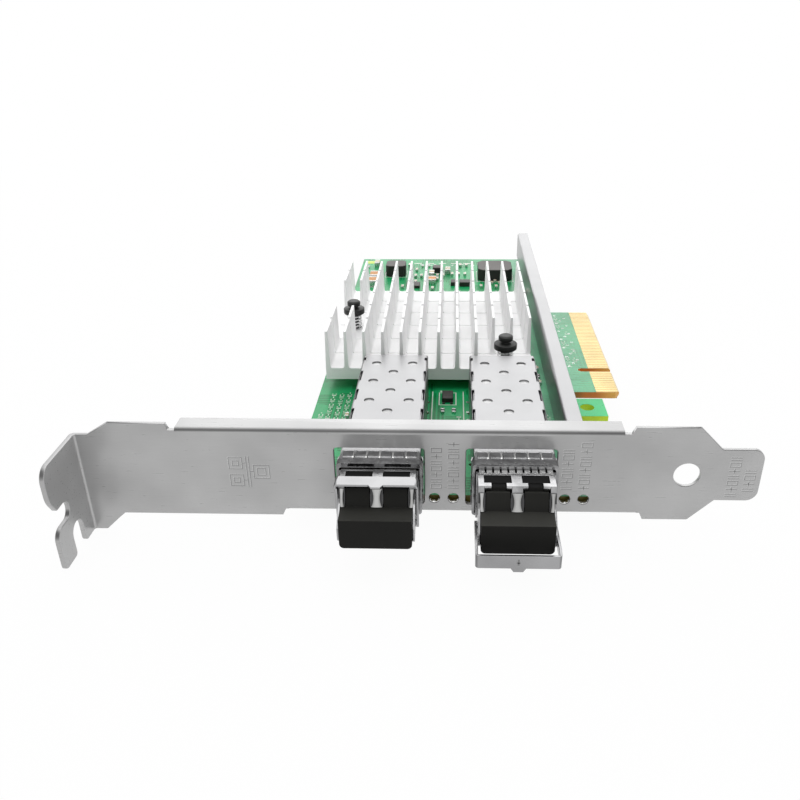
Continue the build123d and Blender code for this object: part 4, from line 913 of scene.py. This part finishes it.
@dataclass
class Board:
    """The laminate, its contacts, vias, printed marks and tracks."""

    edge: float = 0.05
    sunk_mm: float = 0.01
    ink_mm: float = 0.025
    line_mm: float = 0.22
    legend_mm: float = 0.95
    legend_gap: float = 0.42
    legend_lines: tuple = (0.16, 0.18, 0.2)
    legend_lengths: tuple = (0.25, 0.42, 0.59, 0.76)
    legend_share: float = 0.4
    legends: tuple = ((38.2, 25.5, 33.5), (39.8, 25.5, 42.5), (41.6, 25.5, 43.0), (43.3, 27.0, 43.5),
                      (45.0, 25.5, 43.5), (62.6, 25.5, 30.0), (67.6, 25.5, 31.5), (94.2, 58.0, 64.0),
                      (95.9, 60.5, 63.5), (94.4, 70.0, 74.5), (96.2, 66.5, 69.0), (94.2, 83.0, 92.0),
                      (96.0, 79.0, 81.5), (86.4, 26.0, 33.0), (86.4, 100.5, 106.0))
    outlines: tuple = ((63.7, 37.2, 67.6, 43.5), (74.0, 122.6, 85.3, 133.4), (45.2, 126.8, 52.2, 133.8),
                       (59.7, 130.8, 63.9, 134.8), (52.5, 102.8, 60.7, 109.4), (46.6, 103.2, 50.6, 109.0),
                       (40.4, 117.0, 44.0, 122.2), (40.4, 122.8, 44.0, 128.0))
    guides: tuple = ((62.2, 5.0, 44.0), (69.0, 5.0, 44.0))
    dashes: tuple = (54.0, 58.0, 62.0, 66.0, 70.0)
    dash_near: float = 141.2
    dash_far: float = 142.0
    dash_wide: float = 2.4
    dots: tuple = ((64.2, 44.2), (53.0, 110.2), (75.0, 134.6))
    dot_mm: float = 0.3
    round_steps: int = 12
    via_mm: tuple = (0.34, 0.16, 0.02)
    via_columns: tuple = ((61.2, (27.0, 30.4, 33.9, 38.8, 41.6)), (70.0, (27.0, 30.4, 33.9, 38.8)))
    via_runs: tuple = ((45.0, 2.1, 18, 100.9, 0.8, 3, 18), (39.0, 2.7, 17, 112.6, 1.1, 2, 17),
                       (94.6, 1.2, 3, 58.6, 1.9, 19, 19), (46.0, 3.4, 11, 139.6, 0.9, 2, 11))
    track_runs: tuple = ((45.0, 11), (58.1, 38))
    track_reach: tuple = (94.0, 1.1, 3, 98.95)
    track_mm: tuple = (0.09, 0.02)
    pad: tuple = ((38.4, 141.4, 3.81), (41.3, 144.2, 3.85))

    def build(self, card: Card) -> None:
        """Dress the board and add what is printed and plated on it."""
        card.soften("circuit_board", self.edge, 1)
        card.keep("edge_contacts")
        low, high = self.pad
        for name, shape, material in (
                ("board_print", self.printed(), "ink_white"), ("board_vias", self.vias(), "solder_tin"),
                ("contact_tracks", self.tracks(), "board_laminate"),
                ("ground_pad", Blank().bar(place(*low), place(*high), self.sunk_mm).done(), "pad_yellow")):
            card.piece(name, shape, "board_laminate", material=material)

    def ink(self, blank: Blank, x0: float, y0: float, x1: float, y1: float) -> None:
        """Print one filled rectangle on the component side."""
        blank.bar(place(x0, y0, BOARD_TOP - self.sunk_mm), place(x1, y1, BOARD_TOP + self.ink_mm))

    def legend(self, blank: Blank, x: float, near: float, far: float, turn: int) -> None:
        """Print a row of small plain dashes and boxes in place of wording, running back along the card.

        Args:
            blank: The piece that it goes into.
            x: Its left edge.
            near: Where it starts.
            far: Where it ends.
            turn: A number that varies its rhythm.
        """
        y, step, wide = near, 0, self.legend_mm
        thin, upright, single = self.legend_lines
        while y < far:
            length = self.legend_lengths[(step * 5 + turn * 3) % 4]
            kind = (step + turn) % 3
            if kind == 0:
                self.ink(blank, x, y, x + wide, y + thin)
                self.ink(blank, x, y + length, x + wide, y + length + thin)
            elif kind == 1:
                self.ink(blank, x, y, x + upright, y + length)
                self.ink(blank, x + wide - upright, y, x + wide, y + length)
            else:
                middle = x + wide * self.legend_share
                self.ink(blank, middle, y, middle + single, y + length)
            y += length + self.legend_gap
            step += 1

    def printed(self) -> Mesh:
        """Make the white print: outlines, guide lines and rows of dashes.

        Returns:
            The print's mesh.
        """
        blank = Blank()
        for box in self.outlines:
            for strip in strips(*box, self.line_mm):
                self.ink(blank, *strip)
        for x, near, far in self.guides:
            self.ink(blank, x, near, x + self.line_mm, far)
        for i, (x, near, far) in enumerate(self.legends):
            self.legend(blank, x, near, far, i)
        for x in self.dashes:
            self.ink(blank, x, self.dash_near, x + self.dash_wide, self.dash_far)
        for x, y in self.dots:
            blank.disc(place(x, y, BOARD_TOP), self.dot_mm, self.ink_mm, self.round_steps)
        return blank.done()

    def vias(self) -> Mesh:
        """Make the plated rings of the vias.

        Returns:
            The rings' mesh.
        """
        blank = Blank()
        outer, inner, proud = self.via_mm
        spots = [(x, y) for x, column in self.via_columns for y in column]
        for x, step_x, turn_x, y, step_y, turn_y, count in self.via_runs:
            spots += [(x + step_x * (i % turn_x), y + step_y * (i % turn_y)) for i in range(count)]
        for x, y in spots:
            blank.ring(place(x, y, BOARD_TOP - self.sunk_mm / 2), outer, inner, proud + self.sunk_mm / 2,
                       self.round_steps)
        return blank.done()

    def tracks(self) -> Mesh:
        """Make the raised tracks that lead in from the contacts.

        Returns:
            The tracks' mesh.
        """
        blank = Blank()
        near, step, turn, far = self.track_reach
        half, proud = self.track_mm
        for i, y in enumerate(start + k for start, count in self.track_runs for k in range(count)):
            blank.bar(place(near + step * (i % turn), y - half, BOARD_TOP - self.sunk_mm),
                      place(far, y + half, BOARD_TOP + proud))
        return blank.done()


@dataclass
class Stiffener:
    """The folded rail along the connector side, with its screws."""

    edge: float = 0.12

    def build(self, card: Card) -> None:
        """Dress the rail and its screws."""
        card.soften("stiffener_rail", self.edge, 3)
        card.soften("rail_screws", 0.1)


@dataclass
class Cooling:
    """The heat sink with the push pins, their springs and the chip below."""

    left: float = 38.3
    near: float = 45.0
    width: float = 46.4
    length: float = 53.0
    bottom: float = 6.32
    floor: float = 9.02
    top: float = 17.72
    columns: int = 12
    margin: float = 0.53
    tip: float = 0.55
    root: float = 1.0
    rows: int = 6
    cut: float = 1.0
    cut_depth: float = 0.15
    fillet: float = 0.5
    fillet_steps: int = 3
    edge: float = 0.05
    sharp_deg: float = 50.0
    inset: float = 0.02
    lap: float = 0.1

    def build(self, card: Card) -> None:
        """Dress the heat sink, the pins and the hidden chip."""
        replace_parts(card.piece("heat_sink_worked", self.sink(), "sink_aluminium"), "heat_sink")
        for end in ("rear", "front"):
            card.soften("push_pin_" + end, 0.1, smooth=40.0)
            card.soften("pin_spring_" + end, 0.0)
        card.keep("thermal_pad")
        card.soften("controller_chip", 0.08)

    def standing(self, row: int) -> list[int]:
        """Tell which fins a row has, as some are left out round the two push pins.

        Args:
            row: The row, counted from the bracket.

        Returns:
            The columns that have a fin.
        """
        missing = {0: range(9, 12), 2: range(2), 3: range(2)}.get(row, ())
        return [column for column in range(self.columns) if column not in missing]

    def sink(self) -> Mesh:
        """Make the rows of fins on their base, parted by shallow cross cuts.

        Returns:
            The heat sink's mesh.
        """
        blank = Blank()
        step = (self.length + self.cut) / self.rows
        for row in range(self.rows):
            self.comb(blank, self.standing(row), self.near + row * step, step - self.cut)
            if row:
                ahead = self.near + row * step
                blank.bar(place(self.left + self.inset, ahead - self.cut - self.lap, self.bottom + self.inset),
                          place(self.left + self.width - self.inset, ahead + self.lap, self.floor - self.cut_depth))
        return blank.done()

    def comb(self, blank: Blank, standing: list[int], start: float, depth: float) -> None:
        """Draw one row's comb of tapered fins and pull it back along the card, with round channel feet.

        Args:
            blank: The piece that it goes into.
            standing: The columns that have a fin.
            start: Where the row begins.
            depth: How long it is.
        """
        right = self.left + self.width
        pitch = (self.width - 2 * self.margin) / (self.columns - 1)
        chain = [(self.left, self.bottom), (right, self.bottom)]
        if standing[-1] != self.columns - 1:
            chain.append((right, self.floor))
        for column in reversed(standing):
            middle = self.left + self.margin + column * pitch
            last = right if column == self.columns - 1 else middle + self.root / 2
            first = self.left if column == 0 else middle - self.root / 2
            chain += [(last, self.floor), (middle + self.tip / 2, self.top),
                      (middle - self.tip / 2, self.top), (first, self.floor)]
        if standing[0] != 0:
            chain.append((self.left, self.floor))
        part = bmesh.new()
        outline = part.faces.new([part.verts.new(place(x, start, z)) for x, z in chain])
        pulled = bmesh.ops.extrude_face_region(part, geom=[outline])["geom"]
        bmesh.ops.translate(part, vec=(0, depth / 1000.0, 0),
                            verts=[item for item in pulled if isinstance(item, bmesh.types.BMVert)])
        bmesh.ops.recalc_face_normals(part, faces=part.faces)
        feet = [edge for edge in part.edges if not edge.is_convex]
        bevel(part, feet, self.fillet / 1000.0, self.fillet_steps)
        least = math.radians(self.sharp_deg)
        sharp = [edge for edge in part.edges if edge.is_convex and edge.calc_face_angle(0.0) > least]
        bevel(part, sharp, self.edge / 1000.0, 1)
        blank.take(part)


@dataclass
class Port:
    """One port: its cage, collar and connector, and the transceiver with its bail and plug."""

    side: Side
    edges: tuple = (("cage_", 0.03), ("collar_", 0.02), ("cage_connector_", 0.1), ("module_body_", 0.035),
                    ("module_cover_", 0.05), ("module_spring_", 0.0), ("module_board_", 0.05), ("dust_plug_", 0.05),
                    ("bail_pin_", 0.1), ("latch_bail_", 0.06), ("release_slide_", 0.08), ("optics_", 0.1))
    lit_cover_box: tuple = ((-5.3, 3.0, 13.08), (5.3, 39.4, 13.14))
    slant: tuple = ((-10.6, 8.9), (-8.9, 12.75))
    pillar_places: tuple = ((0.0, 0.95), (-5.78, 0.5), (5.78, 0.5))
    pillar_tall: float = 3.05
    pillar_depth: tuple = (-0.32, 0.2)
    pillar_steps: int = 8
    pillar_turns: int = 10
    waist: float = 0.66
    ground_places: tuple = ((0.0, 1.04), (-5.76, 0.57), (5.76, 0.57))
    ground_box: tuple = (-0.03, 0.02, 0.05, 3.1)
    rib_tops: tuple = ((0.99, 5.26, -7.76, -5.64, 12.63), (1.87, 4.08, -8.88, -7.8, 12.51))
    rib_skin: tuple = (0.03, 0.02)
    fingers: range = range(-2, 3)
    dimple: tuple = (2.4, -4.1, 13.73, 0.17, 0.08)
    dimple_steps: int = 10
    finger_step: float = 2.28
    finger_edge: tuple = ((-0.2, -2.95, 13.62), (0.2, -0.9, 13.9))
    finger_round: float = 0.08
    stamp_bars: tuple = ((0.16, 3.4, 4.5), (0.34, 3.75, 3.95))
    stamp_face: tuple = (-18.41, -18.3)

    @property
    def out(self) -> float:
        """How far the transceiver stands out of its cage, in millimetres."""
        return 0.9 if self.side is Side.RIGHT else 0.0

    def build(self, card: Card) -> None:
        """Dress every node of the port."""
        word = self.side.word
        for node, width in self.edges:
            card.soften(node + word, width, material="finger_bright" if node == "module_spring_" else None)
        for name, shape, slot, material in (
                # painted shade behind the pillars
                ("head_shades_", self.shades(), "module_zinc", "zinc_shade"),
                # painted shade inside the head's slots
                ("plug_ribs_", self.backs(), "plug_rubber", "bore_dark"),
                # painted light on the cover under the cage's holes
                ("cover_painted_light_", self.lit_cover(), "cage_steel", "cover_label"),
                ("head_pillars_", self.pillars(), "module_zinc", "polished_zinc"),
                ("collar_dimples_", self.dimples(), "collar_steel", "polished_zinc"),
                # painted highlight between the collar's fingers
                ("collar_gaps_", self.gaps(), "collar_steel", "finger_bright")):
            card.piece(name + word, shape, slot, material=material)
        if self.side is Side.RIGHT:
            card.piece("bail_stamp", self.stamp(), "bail_steel", "bail_" + word, material="mark_dark")

    def at(self, across: float, y: float, z: float) -> Vector:
        """Turn a place on the left transceiver, measured across from its middle, into this one's."""
        return place(self.side.middle + across, y - self.out, z)

    def lit_cover(self) -> Mesh:
        """Make a pale sheet on the transceiver's cover under the cage's holes: painted light, standing in for the
        lit cover that they show.
        """
        low, high = self.lit_cover_box
        return Blank().bar(self.at(*low), self.at(*high)).done()

    def lean(self) -> Matrix:
        """Give the frame of the head's slanted front: its foot, and up along the slant."""
        foot, top = self.slant
        slope = place(0.0, *top) - place(0.0, *foot)
        return Matrix.Translation(self.at(0.0, *foot)) @ Matrix.Rotation(-math.atan2(slope.y, slope.z), 4, "X")

    def pillars(self) -> Mesh:
        """Make the waisted, rounded faces of the head's three pillars, which lean back with its front.

        Returns:
            The pillars' mesh.
        """
        blank = Blank()
        turns = self.pillar_turns
        bulge, back = self.pillar_depth
        for across, half in self.pillar_places:
            part = bmesh.new()
            rings = []
            for step in range(self.pillar_steps + 1):
                share = step / self.pillar_steps
                up = self.pillar_tall * share
                wide = half * (self.waist + (1.0 - self.waist) * (2 * share - 1) ** 2)
                ring = [Vector((across - wide * math.cos(turn), bulge * math.sin(turn), up))
                        for turn in (math.pi * i / turns for i in range(turns + 1))]
                rings.append([part.verts.new(co / 1000.0) for co in ring + [Vector((across, back, up))]])
            for lower, upper in zip(rings, rings[1:]):
                for i in range(len(lower)):
                    j = (i + 1) % len(lower)
                    part.faces.new([lower[i], lower[j], upper[j], upper[i]])
            part.faces.new(rings[0])
            part.faces.new(rings[-1])
            bmesh.ops.transform(part, matrix=self.lean(), verts=part.verts)
            blank.take(part)
        return blank.done()

    def backs(self) -> Mesh:
        """Make near-black tops on the plug's ribs and keys, painted shade inside the slots in the head's roof."""
        blank = Blank()
        below, above = self.rib_skin
        for near, far, front, back, top in self.rib_tops:
            for side in (-1, 1):
                left, right = sorted((side * near, side * far))
                blank.bar(self.at(left, front, top - below), self.at(right, back, top + above))
        return blank.done()

    def shades(self) -> Mesh:
        """Make dark strips behind the pillars, painted shade that outlines them."""
        part = Blank()
        front, foot, back, top = self.ground_box
        for across, half in self.ground_places:
            part.bar(Vector((across - half, front, foot)) / 1000.0, Vector((across + half, back, top)) / 1000.0)
        bmesh.ops.transform(part.mesh, matrix=self.lean(), verts=part.mesh.verts)
        return part.done()

    def dimples(self) -> Mesh:
        """Make the small pressed dimples along the collar's band."""
        blank = Blank()
        step, y, z, radius, tall = self.dimple
        for i in self.fingers:
            blank.disc(place(self.side.middle + i * step, y, z), radius, tall, self.dimple_steps)
        return blank.done()

    def gaps(self) -> Mesh:
        """Make bright raised strips between the collar's fingers, painted highlight where the fingers' ends catch
        the light.
        """
        blank = Blank()
        for i in self.fingers:
            ends = (place(self.side.middle + i * self.finger_step + x, y, z) for x, y, z in self.finger_edge)
            blank.bar(*ends, self.finger_round)
        return blank.done()

    def stamp(self) -> Mesh:
        """Make the small plain stamp in the middle of the opened bail's bar."""
        blank, middle = Blank(), self.side.middle
        for half, low, high in self.stamp_bars:
            blank.bar(place(middle - half, self.stamp_face[0], low), place(middle + half, self.stamp_face[1], high))
        return blank.done()


@dataclass
class SmallParts:
    """Chips, inductors, capacitors, resistors and lamps, with their metal ends."""

    edges: tuple = (("port_chip", 0.06), ("flash_chip", 0.06), ("power_inductors", 0.25), ("regulator_chips", 0.06),
                    ("tantalum_capacitors", 0.1), ("crystal", 0.15), ("ceramic_capacitors", 0.06),
                    ("chip_resistors", 0.04), ("underside_capacitors", 0.06), ("indicator_lamps", 0.08))
    end_shares: tuple = (("ceramic_capacitors", 0.24), ("chip_resistors", 0.24), ("tantalum_capacitors", 0.13))
    end_edge: float = 0.05
    proud_mm: float = 0.02

    def build(self, card: Card) -> None:
        """Dress the small parts and add their soldered ends."""
        for node, width in self.edges:
            card.soften(node, width)
        for node, share in self.end_shares:
            card.piece(node + "_ends", self.ends(card, node, share), card.slot_of[node], material="solder_tin")

    def ends(self, card: Card, node: str, share: float) -> Mesh:
        """Make the plated ends of a group of parts that lie along Y.

        Args:
            card: The card.
            node: The group's node.
            share: How much of a part's length each end takes.

        Returns:
            The ends' mesh.
        """
        blank = Blank()
        proud = Vector((1, 1, 1)) * self.proud_mm / 1000.0
        for low, high in card.islands(node):
            reach = (high.y - low.y) * share
            for near, far in ((low.y, low.y + reach), (high.y - reach, high.y)):
                blank.bar(Vector((low.x, near, low.z)) - Vector((proud.x, proud.y, 0)),
                          Vector((high.x, far, high.z)) + proud, self.end_edge)
        return blank.done()


@dataclass
class Studio:
    """White floor and surroundings, soft lamps and the photograph's camera."""

    lamps: tuple = (("overhead_softbox", (-0.1, 0.0, 0.9), (-0.03, 0.05, 0.0), 0.9, 3.6),
                    ("back_softbox", (-0.04, 0.95, 0.42), (-0.04, 0.05, 0.0), 1.1, 3.9))
    camera_place: tuple = (66.38268, -122.90544, 83.73042)
    yaw: float = -0.04098
    pitch: float = 0.49802
    roll: float = -0.01052
    focal_px: float = 821.21
    centre_px: tuple = (421.05, 434.12)
    frame_px: float = 800.0
    sensor_mm: float = 36.0
    ambient: float = 0.5
    shadow_reach: float = 0.45
    near_share: float = 0.96
    floor_reach: float = 30.0

    def build(self, lowest: float) -> None:
        """Set up the camera, the world, the floor and the lamps.

        Args:
            lowest: The height that the card stands on, in metres.
        """
        self.camera()
        self.world()
        self.floor(lowest)
        for lamp in self.lamps:
            self.lamp(*lamp)

    def camera(self) -> None:
        """Place the camera that was solved from the bracket and the long edges."""
        data = bpy.data.cameras.new("view")
        data.sensor_width = self.sensor_mm
        data.lens = self.focal_px / self.frame_px * self.sensor_mm
        data.shift_x = (self.frame_px / 2 - self.centre_px[0]) / self.frame_px
        data.shift_y = (self.centre_px[1] - self.frame_px / 2) / self.frame_px
        data.clip_start = 0.005
        data.clip_end = 200.0
        level = math.cos(self.pitch)
        forward = Vector((math.sin(self.yaw) * level, math.cos(self.yaw) * level, -math.sin(self.pitch)))
        across = Vector((math.cos(self.yaw), -math.sin(self.yaw), 0.0))
        above = across.cross(forward)
        right = math.cos(self.roll) * across + math.sin(self.roll) * above
        up = -math.sin(self.roll) * across + math.cos(self.roll) * above
        turn = Matrix((right, up, -forward)).transposed().to_4x4()
        camera = bpy.data.objects.new("view", data)
        camera.matrix_world = Matrix.Translation(place(*self.camera_place)) @ turn
        bpy.context.scene.collection.objects.link(camera)
        bpy.context.scene.camera = camera

    def seen(self, tree: Tree) -> Socket:
        """Tell the rays that show the background from those that light the card.

        Args:
            tree: The tree to work in.

        Returns:
            An output that is 1 for camera, glossy and transmission rays.
        """
        path = add(tree, "LightPath")
        first = add(tree, "Math", {0: path.outputs["Is Camera Ray"], 1: path.outputs["Is Glossy Ray"]},
                    operation="MAXIMUM")
        both = add(tree, "Math", {0: first, 1: path.outputs["Is Transmission Ray"]},
                   operation="MAXIMUM")
        return both.outputs[0]

    def world(self) -> None:
        """Make the white surroundings."""
        world = bpy.data.worlds.new("white_room")
        world.use_nodes = True
        tree = world.node_tree
        tree.nodes.clear()
        strength = add(tree, "MapRange", {"Value": self.seen(tree), "To Min": self.ambient, "To Max": 1.0})
        light = add(tree, "Background", {"Color": (1, 1, 1, 1), "Strength": strength})
        add(tree, "OutputWorld", {"Surface": light})
        bpy.context.scene.world = world

    def floor(self, height: float) -> None:
        """Lay the white floor, which keeps a faint shadow."""
        blank = bmesh.new()
        bmesh.ops.create_grid(blank, x_segments=1, y_segments=1, size=self.floor_reach)
        bmesh.ops.translate(blank, vec=(0, 0, height), verts=blank.verts)
        mesh = bpy.data.meshes.new("floor")
        blank.to_mesh(mesh)
        blank.free()
        material = bpy.data.materials.new("white_paper_floor")
        material.use_nodes = True
        tree = material.node_tree
        tree.nodes.clear()
        paper = add(tree, "BsdfDiffuse", {"Color": linear("#FFFFFF")})
        glow = add(tree, "Emission", {"Color": (1, 1, 1, 1), "Strength": 1.0})
        coords = add(tree, "TexCoord")
        away = add(tree, "VectorMath", {0: coords.outputs["Object"]}, operation="LENGTH")
        fade = add(tree, "MapRange", {
            "Value": away.outputs["Value"], "From Min": self.shadow_reach / 3, "From Max": self.shadow_reach,
            "To Min": self.near_share, "To Max": 1.0})
        share = add(tree, "Math", {0: self.seen(tree), 1: fade}, operation="MULTIPLY")
        mixed = add(tree, "MixShader", {0: share, 1: paper, 2: glow})
        add(tree, "OutputMaterial", {"Surface": mixed})
        mesh.materials.append(material)
        floor = bpy.data.objects.new("floor", mesh)
        bpy.context.scene.collection.objects.link(floor)
        floor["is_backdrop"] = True

    def lamp(self, name: str, place_m: tuple, aim: tuple, size: float, watts: float) -> None:
        """Hang one soft square lamp that the camera does not see.

        Args:
            name: Its name.
            place_m: Where it hangs, in metres.
            aim: The point that it faces.
            size: Its side, in metres.
            watts: Its power.
        """
        data = bpy.data.lights.new(name, "AREA")
        data.shape = "SQUARE"
        data.size = size
        data.energy = watts
        lamp = bpy.data.objects.new(name, data)
        lamp.location = Vector(place_m)
        lamp.rotation_euler = (Vector(aim) - Vector(place_m)).to_track_quat("-Z", "Y").to_euler()
        lamp.visible_camera = False
        bpy.context.scene.collection.objects.link(lamp)


def main() -> None:
    """Load the frame, dress every sub-assembly in order, and light it."""
    logging.basicConfig(level=logging.INFO, format="%(message)s")
    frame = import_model()
    solid_box = [list(corner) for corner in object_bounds()]
    card = Card(frame)
    studio = Studio()
    studio.build(solid_box[0][2])
    bpy.context.scene.view_settings.view_transform = "Standard"
    for assembly in (SlotBracket(), Board(), Stiffener(), Cooling(), Port(Side.LEFT), Port(Side.RIGHT),
                     SmallParts()):
        log.info("building %s", type(assembly).__name__)
        assembly.build(card)


if __name__ == "__main__":
    main()
